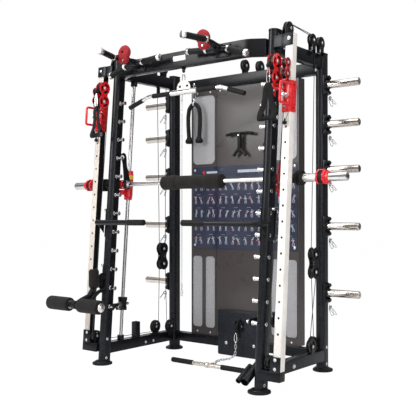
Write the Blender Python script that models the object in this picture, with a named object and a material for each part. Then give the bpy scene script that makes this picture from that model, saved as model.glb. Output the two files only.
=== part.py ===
"""Home-gym Smith machine with two cable columns.

Metres, +Z up.  x = 0 is the machine's middle plane, z = 0 is the floor, the front is at -Y.
Names ending in _r are pieces at +X; those ending in _l are their mirror images at -X.
The front plane leans back as it rises.  "Lean space" is (x, v, z): v is the distance
behind that plane, so y = v + front_y(z).
"""
from math import sin, cos, pi, radians, hypot

import bpy
import bmesh
from mathutils import Vector, Matrix

# ---------------------------------------------------------------- main sizes
FRONT_FLOOR_Y = -0.378     # front plane at the floor
LEAN = 0.07432             # how far the front plane goes back per metre of height
UPRIGHT_X = 0.649          # centre of all four uprights
FRONT_HALF = 0.040         # front upright, half width
FRONT_TOP = 2.130
REAR_Y = 0.378
REAR_HALF = 0.0375
REAR_TOP = 2.090
PEG_Z0, PEG_PITCH, PEG_COUNT = 0.392, 0.1285, 12
PEG_R, PEG_FLANGE_R, PEG_V = 0.010, 0.0145, 0.010
COLUMN_X, COLUMN_V = 0.783, -0.013
COLUMN_HALF, COLUMN_WALL = 0.025, 0.003
HOLE_Z0, HOLE_PITCH, HOLE_COUNT = 0.350, 0.0909, 18
GUIDE_V, GUIDE_R = 0.163, 0.0125
GUIDE_Z0, GUIDE_Z1 = 0.1505, 1.9790
GUIDE_END_PLAY = 0.0005
BAR_Y, BAR_Z, BAR_R = -0.196, 1.239, 0.0145
BAR_CENTRE = (0, BAR_Y, BAR_Z)
SLEEVE_R, BAR_END = 0.025, 1.120
GAP = 0.0003               # clearance between pieces that touch
RUN = 0.0003               # radial clearance of running fits
X_AXIS, Z_AXIS, FORWARD = (1, 0, 0), (0, 0, 1), (0, -1, 0)


def front_y(z):
    return FRONT_FLOOR_Y + LEAN * z


def bored(radius, sides, clearance=RUN):
    """Corner radius of a many-sided bore whose flats clear a shaft."""
    return (radius + clearance) / cos(pi / sides)


# ---------------------------------------------------------------- shapes: (vertices, faces)
def box(x0, x1, y0, y1, z0, z1):
    verts = [(x, y, z) for z in (z0, z1) for y in (y0, y1) for x in (x0, x1)]
    faces = [(0, 2, 3, 1), (4, 5, 7, 6), (0, 1, 5, 4), (2, 6, 7, 3), (0, 4, 6, 2), (1, 3, 7, 5)]
    return verts, faces


def skin(rings, looped=False):
    """Join equal rings of points in turn; capped at both ends unless the last meets the first."""
    count, sides = len(rings), len(rings[0])
    faces = []
    if not looped:
        last = (count - 1) * sides
        faces = [tuple(range(sides)), tuple(range(last + sides - 1, last - 1, -1))]
    for k in range(count if looped else count - 1):
        here, there = k * sides, (k + 1) % count * sides
        for i in range(sides):
            j = (i + 1) % sides
            faces.append((here + i, here + j, there + j, there + i))
    return [point for ring in rings for point in ring], faces


def prism(outline, axis, start, end):
    """Push an outline along an axis: x takes (y, z), y takes (x, z), z takes (x, y)."""
    slot = "xyz".index(axis)
    return skin([[p[:slot] + (level,) + p[slot:] for p in outline] for level in (start, end)])


def frame_of(direction):
    """The unit direction and two unit vectors across it."""
    along = Vector(direction).normalized()
    helper = Vector((0, 0, 1)) if abs(along.z) < 0.9 else Vector((1, 0, 0))
    side = along.cross(helper).normalized()
    return along, side, along.cross(side)


def circle_ring(centre, radius, side, across, sides):
    angles = [2 * pi * (i + 0.5) / sides for i in range(sides)]
    return [centre + side * (radius * cos(t)) + across * (radius * sin(t)) for t in angles]


def rod(start, end, radius, sides=12):
    start, end = Vector(start), Vector(end)
    _, side, across = frame_of(end - start)
    return skin([circle_ring(p, radius, side, across, sides) for p in (start, end)])


def rod_x(x0, x1, y, z, radius, sides=12):
    return rod((x0, y, z), (x1, y, z), radius, sides)


def rod_y(x, y0, y1, z, radius, sides=12):
    return rod((x, y0, z), (x, y1, z), radius, sides)


def rod_z(x, y, z0, z1, radius, sides=12):
    return rod((x, y, z0), (x, y, z1), radius, sides)


def lathe(profile, centre, axis, sides=16, bore=0):
    """Turn (distance along axis, radius) pairs into a solid, or a sleeve round a bore."""
    if bore:
        profile = profile + [(profile[-1][0], bore), (profile[0][0], bore)]
    centre = Vector(centre)
    along, side, across = frame_of(axis)
    return skin([circle_ring(centre + along * distance, radius, side, across, sides)
                 for distance, radius in profile], looped=bool(bore))


def tube(path, radius, sides=8, looped=False):
    """A round bar along a polyline, mitred at its bends."""
    path = [Vector(p) for p in path]
    count = len(path)
    legs = [(path[(i + 1) % count] - path[i]).normalized()
            for i in range(count if looped else count - 1)]
    _, side, across = frame_of(legs[0])
    section = circle_ring(Vector(), radius, side, across, sides)
    if looped:
        mitre = (legs[-1] + legs[0]).normalized()
        section = [q - legs[0] * (q.dot(mitre) / legs[0].dot(mitre)) for q in section]
    rings = [[path[0] + q for q in section]]
    for k in range(1, count):
        leg = mitre = legs[k - 1]
        if k < count - 1 or looped:
            mitre = (leg + legs[k]).normalized()
        rings.append([q + leg * ((path[k] - q).dot(mitre) / leg.dot(mitre)) for q in rings[-1]])
    return skin(rings, looped)


def sheave(centre, half, radius, axle_radius, sides=14):
    """A grooved cable wheel, free on an axle along X."""
    profile = [(-half, radius), (-half * 0.5, radius), (0, radius - 0.010),
               (half * 0.5, radius), (half, radius)]
    return lathe(profile, centre, X_AXIS, sides, bored(axle_radius, sides))


def wheel(centre, half, radius):
    """A plain cable wheel held fast between its cheeks, axis along X."""
    x, y, z = centre
    return rod_x(x - half, x + half, y, z, radius, 10)


def cheeks(outline, x, inner, outer):
    """Two plates with a (y, z) outline, from inner to outer on either side of x."""
    return [prism(outline, "x", x - outer, x - inner), prism(outline, "x", x + inner, x + outer)]


# ---------------------------------------------------------------- outlines
def both_ways(half):
    """The pairs mirrored in their first value and reversed, then the pairs themselves."""
    return [(-a, b) for a, b in reversed(half)] + half


def link_outline(half):
    """Close a half outline whose first and last points lie on the middle line."""
    return half + [(-a, b) for a, b in reversed(half[1:-1])]


def rectangle(a0, a1, b0, b1):
    return [(a0, b0), (a1, b0), (a1, b1), (a0, b1)]


def rounded(centre_a, centre_b, half_a, half_b, radius, steps=3):
    points = []
    for sign_a, sign_b, first in ((1, 1, 0), (-1, 1, 90), (-1, -1, 180), (1, -1, 270)):
        for i in range(steps + 1):
            t = radians(first + 90 * i / steps)
            points.append((centre_a + sign_a * (half_a - radius) + radius * cos(t),
                           centre_b + sign_b * (half_b - radius) + radius * sin(t)))
    return points


def circle(centre_a, centre_b, radius, sides):
    angles = [2 * pi * i / sides for i in range(sides)]
    return [(centre_a + radius * cos(t), centre_b + radius * sin(t)) for t in angles]


def figure_eight(y, z0, z1, radius, waist, steps):
    """Outline in (y, z) of two discs, one above the other, joined by a waist."""
    dip = radians(35)
    sweep = pi + 2 * dip
    points = []
    for centre_z, first, side in ((z0, pi - dip, 1), (z1, -dip, -1)):
        for i in range(steps + 1):
            t = first + sweep * i / steps
            points.append((y + radius * cos(t), centre_z + radius * sin(t)))
        points.append((y + side * waist, (z0 + z1) / 2))
    return points


# ---------------------------------------------------------------- moving shapes
def leaned(shape):
    """Take a shape from lean space to the machine's frame."""
    verts, faces = shape
    return [(x, y + front_y(z), z) for x, y, z in verts], faces


def turned_on_bar(shape, angle):
    """Turn a shape about the Smith bar's axis."""
    verts, faces = shape
    s, c = sin(angle), cos(angle)
    return [(x, BAR_Y + (y - BAR_Y) * c - (z - BAR_Z) * s,
             BAR_Z + (y - BAR_Y) * s + (z - BAR_Z) * c) for x, y, z in verts], faces


def mirrored(shape):
    verts, faces = shape
    return [(-x, y, z) for x, y, z in verts], faces


# ---------------------------------------------------------------- materials
# look: (base colour, metallic, roughness)
LOOKS = {
    "black": ((0.022, 0.023, 0.027), 0.3, 0.42),
    "red": ((0.62, 0.015, 0.025), 0.1, 0.38),
    "hold": ((0.42, 0.012, 0.018), 0.0, 0.6),
    "cream": ((0.72, 0.70, 0.66), 0.1, 0.4),
    "chrome": ((0.72, 0.72, 0.73), 1.0, 0.16),
    "foam": ((0.03, 0.024, 0.022), 0.0, 0.85),
    "rubber": ((0.02, 0.02, 0.02), 0.0, 0.7),
    "smoke": ((0.085, 0.068, 0.064), 0.0, 0.35),
    "chart": ((0.05, 0.06, 0.10), 0.0, 0.3),
    "tread": ((0.03, 0.035, 0.05), 0.4, 0.45),
    "nylon": ((0.025, 0.025, 0.028), 0.0, 0.5),
    "iron": ((0.05, 0.05, 0.05), 0.3, 0.6),
}


def make_material(name, look):
    colour, metallic, roughness = LOOKS[look]
    material = bpy.data.materials.new(name)
    material.use_nodes = True
    inputs = material.node_tree.nodes["Principled BSDF"].inputs
    inputs["Base Color"].default_value = (*colour, 1.0)
    inputs["Metallic"].default_value = metallic
    inputs["Roughness"].default_value = roughness
    return material


# ---------------------------------------------------------------- building objects
# (merge distance, dissolve flat edges), boldest first; the last only triangulates
TIDY_STEPS = ((2e-5, True), (2e-6, True), (2e-5, False), (2e-6, False), (0, False))
FLAT_ANGLE = 0.0008
LEAST_FACE_AREA = 1e-12


def mesh_object(shape, name="tmp"):
    mesh = bpy.data.meshes.new(name)
    mesh.from_pydata([tuple(p) for p in shape[0]], [], shape[1])
    bm = bmesh.new()
    bm.from_mesh(mesh)
    bmesh.ops.recalc_face_normals(bm, faces=bm.faces)
    bm.to_mesh(mesh)
    bm.free()
    ob = bpy.data.objects.new(name, mesh)
    bpy.context.scene.collection.objects.link(ob)
    return ob


def combine(ob, shape, operation):
    other = mesh_object(shape)
    other.hide_render = True
    modifier = ob.modifiers.new("b", "BOOLEAN")
    modifier.operation = operation
    modifier.solver = "EXACT"
    modifier.object = other
    depsgraph = bpy.context.evaluated_depsgraph_get()
    result = bpy.data.meshes.new_from_object(ob.evaluated_get(depsgraph))
    ob.modifiers.clear()
    ob.data = result
    bpy.data.objects.remove(other, do_unlink=True)


def tidy(mesh):
    """Triangulate, with the boldest clean-up that leaves the mesh closed."""
    for merge, dissolve in TIDY_STEPS:
        bm = bmesh.new()
        bm.from_mesh(mesh)
        if merge:
            bmesh.ops.remove_doubles(bm, verts=bm.verts, dist=merge)
        if dissolve:
            bmesh.ops.dissolve_limit(bm, angle_limit=FLAT_ANGLE, verts=bm.verts, edges=bm.edges)
        bmesh.ops.triangulate(bm, faces=bm.faces)
        bmesh.ops.recalc_face_normals(bm, faces=bm.faces)
        closed = (all(e.is_manifold for e in bm.edges)
                  and all(f.calc_area() > LEAST_FACE_AREA for f in bm.faces))
        done = closed or not (merge or dissolve)
        if done:
            bm.to_mesh(mesh)
        bm.free()
        if done:
            return


def build(name, look, solids, cuts=(), origin=None, late=()):
    """Join the solids, take away the cuts, then join the late solids."""
    ob = mesh_object(solids[0], name)
    for shape in solids[1:]:
        combine(ob, shape, "UNION")
    for shape in cuts:
        combine(ob, shape, "DIFFERENCE")
    for shape in late:
        combine(ob, shape, "UNION")
    tidy(ob.data)
    ob.name = name
    ob.data.name = name
    ob.data.materials.clear()
    ob.data.materials.append(make_material("mat_" + name, look))
    if origin is not None:
        ob.data.transform(Matrix.Translation(-Vector(origin)))
        ob.location = origin


def pair(base, look, solids, cuts=(), origin=None, right_only=(), left_only=()):
    """The piece as drawn at +X and its mirror image at -X; every shape is drawn at +X."""
    build(base + "_r", look, solids + list(right_only), cuts, origin)
    if origin is not None:
        origin = (-origin[0], origin[1], origin[2])
    build(base + "_l", look, [mirrored(s) for s in solids + list(left_only)],
          [mirrored(c) for c in cuts], origin)


# ---------------------------------------------------------------- uprights
LOW_PULLEY = (0.7185, front_y(0.187) - 0.010, 0.187)
TOP_PULLEY = (0.7200, -0.170, 2.133)
TOP_AXLE_R = 0.006
# (y from the pulley axis, z)
TOP_BRACKET = [(-0.052, 2.030), (-0.030, 2.030), (0.026, 2.115), (0.026, 2.150),
               (0.008, 2.164), (-0.014, 2.164), (-0.034, 2.140), (-0.052, 2.080)]
HORN_Z = (1.875, 1.616, 1.318, 0.950, 0.515)


def foot_disc(y, radius):
    profile = [(0, radius), (0.012, radius), (0.016, radius - 0.006)]
    return lathe(profile, (UPRIGHT_X, y, 0), Z_AXIS)


def front_uprights():
    # shaft and its slightly wider cap
    solids = [leaned(prism(rounded(UPRIGHT_X, 0, half, half, corner, 2), "z", z0, z1))
              for half, corner, z0, z1 in (
                  (FRONT_HALF, 0.026, 0.010, FRONT_TOP - 0.012),
                  (FRONT_HALF + 0.002, 0.027, FRONT_TOP - 0.014, FRONT_TOP))]
    solids.append(foot_disc(FRONT_FLOOR_Y, 0.068))
    for k in range(PEG_COUNT):
        z = PEG_Z0 + PEG_PITCH * k
        y = front_y(z) + PEG_V
        solids.append(rod_x(0.6145, 0.5805, y, z, PEG_R, 6))
        solids.append(rod_x(0.582, 0.574, y, z, PEG_FLANGE_R, 6))
    # bottom and top arms that hold the column rail, each with a plate in front
    for z0, z1, plate_top in ((0.094, 0.141, 0.215), (2.007, 2.061, 2.061)):
        arm_end = COLUMN_X - COLUMN_HALF - GAP
        solids.append(leaned(box(0.680, arm_end, -0.0405, 0.0085, z0, z1)))
        solids.append(leaned(box(0.735, 0.8105, -0.0450, -0.0384, z0, plate_top)))
    # shelf under the column rail
    solids.append(leaned(box(0.735, 0.8105, -0.0450, 0.0115, 0.0850, 0.0966)))
    x, y, z = LOW_PULLEY
    solids += cheeks(rectangle(y - 0.020, y + 0.020, 0.132, 0.206), x, 0.0125, 0.0155)
    solids.append(wheel(LOW_PULLEY, 0.0135, 0.036))
    x, y, z = TOP_PULLEY
    solids += cheeks([(y + back, height) for back, height in TOP_BRACKET], x, 0.016, 0.019)
    solids.append(rod_x(x - 0.018, x + 0.018, y, z, TOP_AXLE_R, 8))
    pair("front_upright", "black", solids)


def top_pulleys():
    pair("top_pulley", "nylon", [sheave(TOP_PULLEY, 0.0125, 0.041, TOP_AXLE_R)],
         origin=TOP_PULLEY)


def rear_uprights():
    """Rear uprights, each with a column of plate horns on its outer side."""
    outline = rounded(UPRIGHT_X, REAR_Y, REAR_HALF, REAR_HALF, 0.012, 1)
    solids = [prism(outline, "z", 0.010, REAR_TOP), foot_disc(REAR_Y, 0.066)]
    for z in HORN_Z:
        solids.append(box(0.680, 0.6985, 0.330, 0.390, z - 0.070, z + 0.070))
        solids.append(rod_x(0.6935, 0.918, 0.360, z, 0.025, 10))
    pair("rear_upright", "black", solids)


# ---------------------------------------------------------------- side rails and guide rods
SIDE_RAIL_HALF = 0.0275
# the landmine holder's pivot, beside the right base rail
LANDMINE = (0.580, -0.262, 0.150)
LANDMINE_PIN_R = 0.007


def side_rail(z0, z1):
    """From the leaning front upright's back face to the rear upright's front face."""
    x0, x1 = UPRIGHT_X - SIDE_RAIL_HALF, UPRIGHT_X + SIDE_RAIL_HALF
    corners = rectangle(x0, x1, z0, z1)
    rear_y = REAR_Y - REAR_HALF - GAP
    return skin([[(x, front_y(z) + FRONT_HALF + GAP, z) for x, z in corners],
                 [(x, rear_y, z) for x, z in corners]])


def guide_rod_solid(z0, z1, radius, sides):
    """A cylinder on the leaning guide rod's axis."""
    return leaned(rod_z(UPRIGHT_X, GUIDE_V, z0, z1, radius, sides))


def guide_bore(z0, z1):
    return guide_rod_solid(z0, z1, bored(GUIDE_R, 16), 16)


def side_base_rails():
    solids = [side_rail(0.070, 0.145), guide_rod_solid(0.138, 0.177, 0.024, 14)]
    # wheels between cheeks; the rear one's inner cheek reaches lower
    for x, y, inner_foot in ((0.668, 0.180, 0.138), (0.6235, 0.307, 0.120)):
        solids.append(box(x - 0.0135, x - 0.0105, y - 0.018, y + 0.018, inner_foot, 0.206))
        solids.append(box(x + 0.0105, x + 0.0135, y - 0.018, y + 0.018, 0.138, 0.206))
        solids.append(wheel((x, y, 0.189), 0.0120, 0.035))
    solids.append(box(0.6100, 0.6300, 0.289, 0.325, 0.118, 0.142))
    posts = [rod_z(UPRIGHT_X, y, 0.140, 0.250, 0.011, 10) for y in (-0.095, -0.015)]
    # lug and headed pin for the landmine, on the rail's inner side
    _, y, z = LANDMINE
    pin = [box(0.6095, 0.6230, y - 0.022, y + 0.022, 0.090, 0.168),
           rod_x(0.6160, 0.5465, y, z, LANDMINE_PIN_R, 10),
           rod_x(0.5500, 0.5455, y, z, 0.011, 10)]
    pair("side_base_rail", "black", solids, [guide_bore(GUIDE_Z0 - GUIDE_END_PLAY, 0.190)],
         right_only=pin, left_only=posts)


def side_top_rails():
    solids = [side_rail(1.985, 2.068), guide_rod_solid(1.953, 1.992, 0.024, 14)]
    for y in (0.177, 0.282):
        half = [(0.020, 2.030), (0.022, 2.150), (0.010, 2.166)]
        outline = [(y + back, z) for back, z in both_ways(half)]
        solids += cheeks(outline, 0.680, 0.0130, 0.0160)
        solids.append(wheel((0.680, y, 2.136), 0.0140, 0.040))
        solids.append(box(0.6700, 0.6950, y - 0.018, y + 0.018, 2.032, 2.062))
    pair("side_top_rail", "black", solids, [guide_bore(1.940, GUIDE_Z1 + GUIDE_END_PLAY)])


def guide_rods():
    pair("guide_rod", "chrome", [guide_rod_solid(GUIDE_Z0, GUIDE_Z1, GUIDE_R, 16)])


# ---------------------------------------------------------------- rear beams, weight stacks
BEAM_END_X = UPRIGHT_X - REAR_HALF - GAP
STACK_X, STACK_Y, STACK_Z0 = 0.350, 0.400, 0.1365
STACK_ROD_OFFSETS = (-0.06, 0.06)
STACK_ROD_R = 0.009
PLATE_PITCH = 0.0423
ROPE_X = -0.402


def rear_base_beam():
    """The lower rear beam, with the weight stacks' rods standing on it."""
    solids = [box(-BEAM_END_X, BEAM_END_X, 0.3450, 0.4110, 0.070, 0.135)]
    for side in (-1, 1):
        for dx in STACK_ROD_OFFSETS:
            solids.append(rod_z(side * STACK_X + dx, STACK_Y, 0.125, 1.9547, STACK_ROD_R, 10))
    build("rear_base_beam", "black", solids)


def rear_top_beam():
    solids = [box(-BEAM_END_X, BEAM_END_X, 0.3450, 0.4110, 1.955, 2.035)]
    for x, z in ((0.0172, 2.0911), (0.1461, 2.0763)):
        solids += cheeks(rectangle(0.358, 0.398, 2.025, z + 0.020), x, 0.0115, 0.0145)
        solids.append(wheel((x, REAR_Y, z), 0.0130, 0.0395))
    # peg the rope hangs on
    solids.append(rod_y(ROPE_X, 0.350, 0.305, 1.990, 0.005, 8))
    build("rear_top_beam", "black", solids)


def weight_stacks():
    """Stacks behind the covers, with grooves in front that mark the plates."""
    solids = [box(STACK_X - 0.095, STACK_X + 0.095, 0.3745, 0.4295, STACK_Z0, 0.560),
              rod_z(STACK_X, STACK_Y, 0.55, 0.610, 0.012, 10)]
    bore_r = bored(STACK_ROD_R, 10, clearance=0.0006)
    cuts = [rod_z(STACK_X + dx, STACK_Y, 0.10, 0.70, bore_r, 10) for dx in STACK_ROD_OFFSETS]
    for k in range(9):
        z = STACK_Z0 + PLATE_PITCH * (k + 1)
        cuts.append(box(STACK_X - 0.10, STACK_X + 0.10, 0.370, 0.3765, z - 0.001, z + 0.001))
    pair("weight_stack", "iron", solids, cuts, origin=(STACK_X, STACK_Y, STACK_Z0))


# ---------------------------------------------------------------- pull-up beam and its grips
LAT_Y = -0.283
GRIP_R, GRIP_END_R = 0.0155, 0.0185
# paths of the three grips on each side: forward, inward, outward
GRIP_PATHS = (
    [(0.372, -0.392, 2.034), (0.385, -0.470, 2.042), (0.385, -0.533, 2.049),
     (0.336, -0.700, 2.054)],
    [(0.345, -0.392, 2.030), (0.273, -0.388, 2.028), (0.114, -0.385, 2.041)],
    [(0.355, -0.388, 2.028), (0.426, -0.384, 2.017), (0.573, -0.384, 1.968)],
)
# wider ends of the same grips: start, end
GRIP_ENDS = (
    ((0.342, -0.6795, 2.0535), (0.3353, -0.7025, 2.0541)),
    ((0.136, -0.3855, 2.0392), (0.112, -0.3849, 2.0412)),
    ((0.553, -0.384, 1.9747), (0.576, -0.384, 1.9670)),
)
# distances along the axis, then for each lobe its x, z and radii at those distances
HOLD_STATIONS = (-0.020, -0.006, 0.008, 0.0175)
HOLD_LOBES = (
    (0.327, 2.082, (0.034, 0.047, 0.049, 0.040)),
    (0.322, 2.036, (0.030, 0.042, 0.044, 0.036)),
)


def pull_up_beam():
    """The beam between the front uprights, with an eye below it for the lat bar."""
    end_x = UPRIGHT_X - FRONT_HALF - GAP
    half_plan = [(0.490, -0.322), (0.535, -0.318), (end_x, -0.262),
                 (end_x, -0.196), (0.520, -0.256), (0.475, -0.264)]
    build("pull_up_beam", "black",
          [prism(both_ways(half_plan), "z", 1.972, 2.073),
           box(-0.004, 0.004, -0.296, -0.270, 1.940, 1.976)],
          [rod_x(-0.02, 0.02, LAT_Y, 1.953, 0.0085, 10)])


def grip_clusters():
    solids = [box(0.296, 0.404, -0.3305, -0.3223, 1.985, 2.062),
              box(0.322, 0.378, -0.4200, -0.3290, 2.012, 2.052)]
    solids += [tube(path, GRIP_R, 10) for path in GRIP_PATHS]
    solids += [rod(start, end, GRIP_END_R, 10) for start, end in GRIP_ENDS]
    # stem of the climbing hold
    solids.append(tube([(0.345, -0.405, 2.036), (0.328, -0.470, 2.060)], 0.012, 8))
    pair("grip_cluster", "black", solids)


def climbing_holds():
    """Two joined lobes, cut flat at the back."""
    solids = [lathe(list(zip(HOLD_STATIONS, radii)), (x, -0.4925, z), FORWARD, 14)
              for x, z, radii in HOLD_LOBES]
    pair("climbing_hold", "hold", solids, [box(0.30, 0.36, -0.4760, -0.43, 1.95, 2.20)])


# ---------------------------------------------------------------- column rails
def column_rails():
    """Square tubes with a row of pin holes in the front wall."""
    x0, x1 = COLUMN_X - COLUMN_HALF, COLUMN_X + COLUMN_HALF
    v0, v1 = COLUMN_V - COLUMN_HALF, COLUMN_V + COLUMN_HALF
    cuts = [box(x0 + COLUMN_WALL, x1 - COLUMN_WALL, v0 + COLUMN_WALL, v1 - COLUMN_WALL,
                0.090, 2.100)]
    for k in range(HOLE_COUNT):
        z = HOLE_Z0 + HOLE_PITCH * k
        cuts.append(rod_y(COLUMN_X, v0 - 0.01, COLUMN_V, z, 0.0062, 6))
    pair("column_rail", "cream", [leaned(box(x0, x1, v0, v1, 0.097, 2.090))],
         [leaned(c) for c in cuts])


# ---------------------------------------------------------------- panels, chart, foot plate
PANEL_Y0 = 0.366
PANEL_Y1 = PANEL_Y0 + 0.004
PANEL_Z0, PANEL_Z1 = 0.1355, 1.9545
COVER_X0, COVER_X1 = 0.2318, 0.4680
COVER_WALL = 0.004
# shallow recesses in the cover's front face: x0, x1, z0, z1
COVER_WINDOWS = (
    (0.245, 0.455, 1.400, 1.913),
    (0.362, 0.455, 0.190, 0.720),
    (0.245, 0.335, 0.190, 0.720),
)
HANDLE_PEG_Z = 1.590


def weight_covers():
    solids = [box(COVER_X0, COVER_X1, PANEL_Y0, PANEL_Y1, PANEL_Z0, PANEL_Z1)]
    for x0, x1 in ((COVER_X0, COVER_X0 + COVER_WALL), (COVER_X1 - COVER_WALL, COVER_X1)):
        solids.append(box(x0, x1, PANEL_Y0, 0.4440, PANEL_Z0 + GAP, PANEL_Z1 - GAP))
    cuts = [prism(rounded((x0 + x1) / 2, (z0 + z1) / 2, (x1 - x0) / 2, (z1 - z0) / 2, 0.040),
                  "y", PANEL_Y0 - 0.01, PANEL_Y0 + 0.0012) for x0, x1, z0, z1 in COVER_WINDOWS]
    pair("weight_cover", "smoke", solids, cuts)


def centre_panel():
    """The panel between the covers, with a peg for the row handle."""
    build("centre_panel", "smoke",
          [box(-0.2312, 0.2312, PANEL_Y0, PANEL_Y1, PANEL_Z0, PANEL_Z1),
           rod_y(0.0, PANEL_Y0 + 0.002, 0.316, HANDLE_PEG_Z, 0.006, 8)])


def exercise_chart():
    board = prism(rounded(0.004, 1.078, 0.455, 0.302, 0.012, 1), "y", 0.3610, 0.3640)
    studs = [rod_y(x, 0.3655, 0.3580, z, 0.008, 6) for x in (-0.43, 0.438) for z in (0.80, 1.357)]
    build("exercise_chart", "chart", [board] + studs)


def foot_plate():
    """A plate with a slot; a cable wheel sits in the slot between two cheeks."""
    solids = [prism(rounded(0, 0.178, 0.195, 0.162, 0.015, 2), "y", 0.3330, 0.3390)]
    solids += [rod_y(x, 0.3447, 0.3300, z, 0.009, 6) for x in (-0.12, 0.12)
               for z in (0.105, 0.273)]
    solids += cheeks(rectangle(0.310, 0.3350, 0.195, 0.270), 0, 0.022, 0.026)
    slot = prism(rounded(0, 0.220, 0.0190, 0.085, 0.015, 2), "y", 0.3300, 0.3420)
    build("foot_plate", "tread", solids, [slot], late=[wheel((0, 0.322, 0.235), 0.0230, 0.030)])


# ---------------------------------------------------------------- Smith bar and what it carries
CARRIAGE_Z0, CARRIAGE_Z1 = 1.133, 1.337
COLLAR_X = 0.975
LATCH_X0, LATCH_X1 = 0.5885, 0.5985
LATCH_PEG = 8              # index of the peg the latch stands next to
LATCH_REST = radians(-8)   # turn that holds the latch off its peg at rest
# (distance from the middle, radius)
BAR_HALF_PROFILE = [(0.7480, BAR_R), (0.7482, 0.030), (0.7980, 0.030), (0.7982, 0.045),
                    (0.8350, 0.045), (0.8352, SLEEVE_R), (BAR_END, SLEEVE_R)]
PAD_HALF_PROFILE = [(0.120, 0.044), (0.130, 0.049), (0.242, 0.049), (0.25, 0.043)]


def bearing_carriages():
    z = (CARRIAGE_Z0 + CARRIAGE_Z1) / 2
    x0, x1 = UPRIGHT_X - 0.030, UPRIGHT_X + 0.030
    solids = [guide_rod_solid(CARRIAGE_Z0, CARRIAGE_Z1, 0.0340, 16),
              box(x0, x1, BAR_Y - 0.031, BAR_Y + 0.060, BAR_Z - 0.040, BAR_Z + 0.040)]
    cuts = [guide_bore(1.10, 1.37), rod_x(0.60, 0.70, BAR_Y, BAR_Z, bored(BAR_R, 16), 16)]
    pair("bearing_carriage", "red", solids, cuts, origin=(UPRIGHT_X, front_y(z) + GUIDE_V, z))


def smith_bar():
    build("smith_bar", "chrome", [lathe(both_ways(BAR_HALF_PROFILE), BAR_CENTRE, X_AXIS, 12)],
          origin=BAR_CENTRE)


def latches():
    """Hub on the bar, arm, and a mouth that closes over a peg when the bar is turned."""
    peg_z = PEG_Z0 + PEG_PITCH * LATCH_PEG
    peg_dy = front_y(peg_z) + PEG_V - BAR_Y
    peg_dz = peg_z - BAR_Z
    reach = hypot(peg_dy, peg_dz)
    out_y, out_z = peg_dy / reach, peg_dz / reach

    def outline(points):
        """(y, z) of points (distance out along the arm, distance towards the rear)."""
        return [(BAR_Y + out_y * out + out_z * rear, BAR_Z + out_z * out - out_y * rear)
                for out, rear in points]

    arm = outline([
        (0.0, -0.026), (0.030, -0.024), (0.150, -0.010), (reach - 0.026, -0.0125),
        (reach + 0.016, -0.0125), (reach + 0.027, -0.004), (reach + 0.030, 0.010),
        (reach + 0.020, 0.026), (reach - 0.010, 0.030), (0.130, 0.027), (0.030, 0.026),
        (0.0, 0.026)])
    mouth = outline([
        (reach - 0.0130, -0.060), (reach - 0.0130, 0.004), (reach - 0.0085, 0.0115),
        (reach, 0.0145), (reach + 0.0085, 0.0115), (reach + 0.0130, 0.004),
        (reach + 0.0130, -0.060)])
    solids = [prism(arm, "x", LATCH_X0, LATCH_X1),
              rod_x(0.5890, 0.5750, BAR_Y, BAR_Z, 0.034, 14),
              rod_x(0.5885, 0.6040, BAR_Y, BAR_Z, 0.026, 14)]
    cuts = [turned_on_bar(prism(mouth, "x", 0.58, 0.61), LATCH_REST),
            rod_x(0.56, 0.62, BAR_Y, BAR_Z, bored(BAR_R, 14), 14)]
    pair("latch", "black", [turned_on_bar(s, LATCH_REST) for s in solids], cuts,
         origin=((LATCH_X0 + LATCH_X1) / 2, BAR_Y, BAR_Z))


def bar_pad():
    build("bar_pad", "foam", [lathe(both_ways(PAD_HALF_PROFILE), BAR_CENTRE, X_AXIS,
                                    bore=bored(BAR_R, 16))], origin=BAR_CENTRE)


def bar_collars():
    centre = (COLLAR_X, BAR_Y, BAR_Z)
    profile = [(-0.045, 0.040), (-0.035, 0.047), (0.015, 0.047), (0.020, 0.036), (0.045, 0.036)]
    solids = [lathe(profile, centre, X_AXIS, bore=bored(SLEEVE_R, 16)),
              box(COLLAR_X - 0.040, COLLAR_X + 0.010, BAR_Y - 0.012, BAR_Y + 0.012,
                  BAR_Z + 0.044, BAR_Z + 0.056)]
    pair("bar_collar", "red", solids, origin=centre)


# ---------------------------------------------------------------- safety stops
STOP_Z0, STOP_Z1 = 0.352, 0.443
# (x, v) of the arm from the guide rod to the pegs
STOP_ARM = [(0.640, 0.142), (0.622, 0.140), (0.578, 0.062), (0.5605, 0.035),
            (0.5605, -0.010), (0.5722, -0.010), (0.5722, 0.032), (0.590, 0.056),
            (0.640, 0.130)]


def safety_stops():
    z = (STOP_Z0 + STOP_Z1) / 2
    solids = [guide_rod_solid(STOP_Z0, STOP_Z1, 0.033, 14),
              leaned(prism(STOP_ARM, "z", 0.372, 0.418))]
    cuts = [guide_bore(0.30, 0.50),
            leaned(prism(circle(PEG_V, 0.374, 0.014, 10), "x", 0.55, 0.58))]
    pair("safety_stop", "black", solids, cuts, origin=(UPRIGHT_X, front_y(z) + GUIDE_V, z))


# ---------------------------------------------------------------- trolleys and cable blocks
TROLLEY_Z0, TROLLEY_Z1 = 1.615, 1.800
TROLLEY_WALL, TROLLEY_PLAY = 0.004, 0.0005
PIN_Z = HOLE_Z0 + HOLE_PITCH * 15
PIN_R = 0.0052
# (v, z) of the trolley's bent handle in front
TROLLEY_HANDLE = [(-0.0405, 1.660), (-0.130, 1.660), (-0.140, 1.670),
                  (-0.140, 1.770), (-0.130, 1.780), (-0.0405, 1.780)]
TROLLEY_WHEELS_V, TROLLEY_WHEELS_Z = 0.038, (1.8400, 1.9050)
SWIVEL_X, SWIVEL_V, SWIVEL_Z = 0.714, -0.079, 1.7700
SWIVEL_PIN_R = 0.008
BLOCK_Z0, BLOCK_Z1 = 1.815, 1.910
BLOCK_AXLE_R = 0.006
BALL_STOP = (0.714, -0.3790, 1.880)
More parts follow.
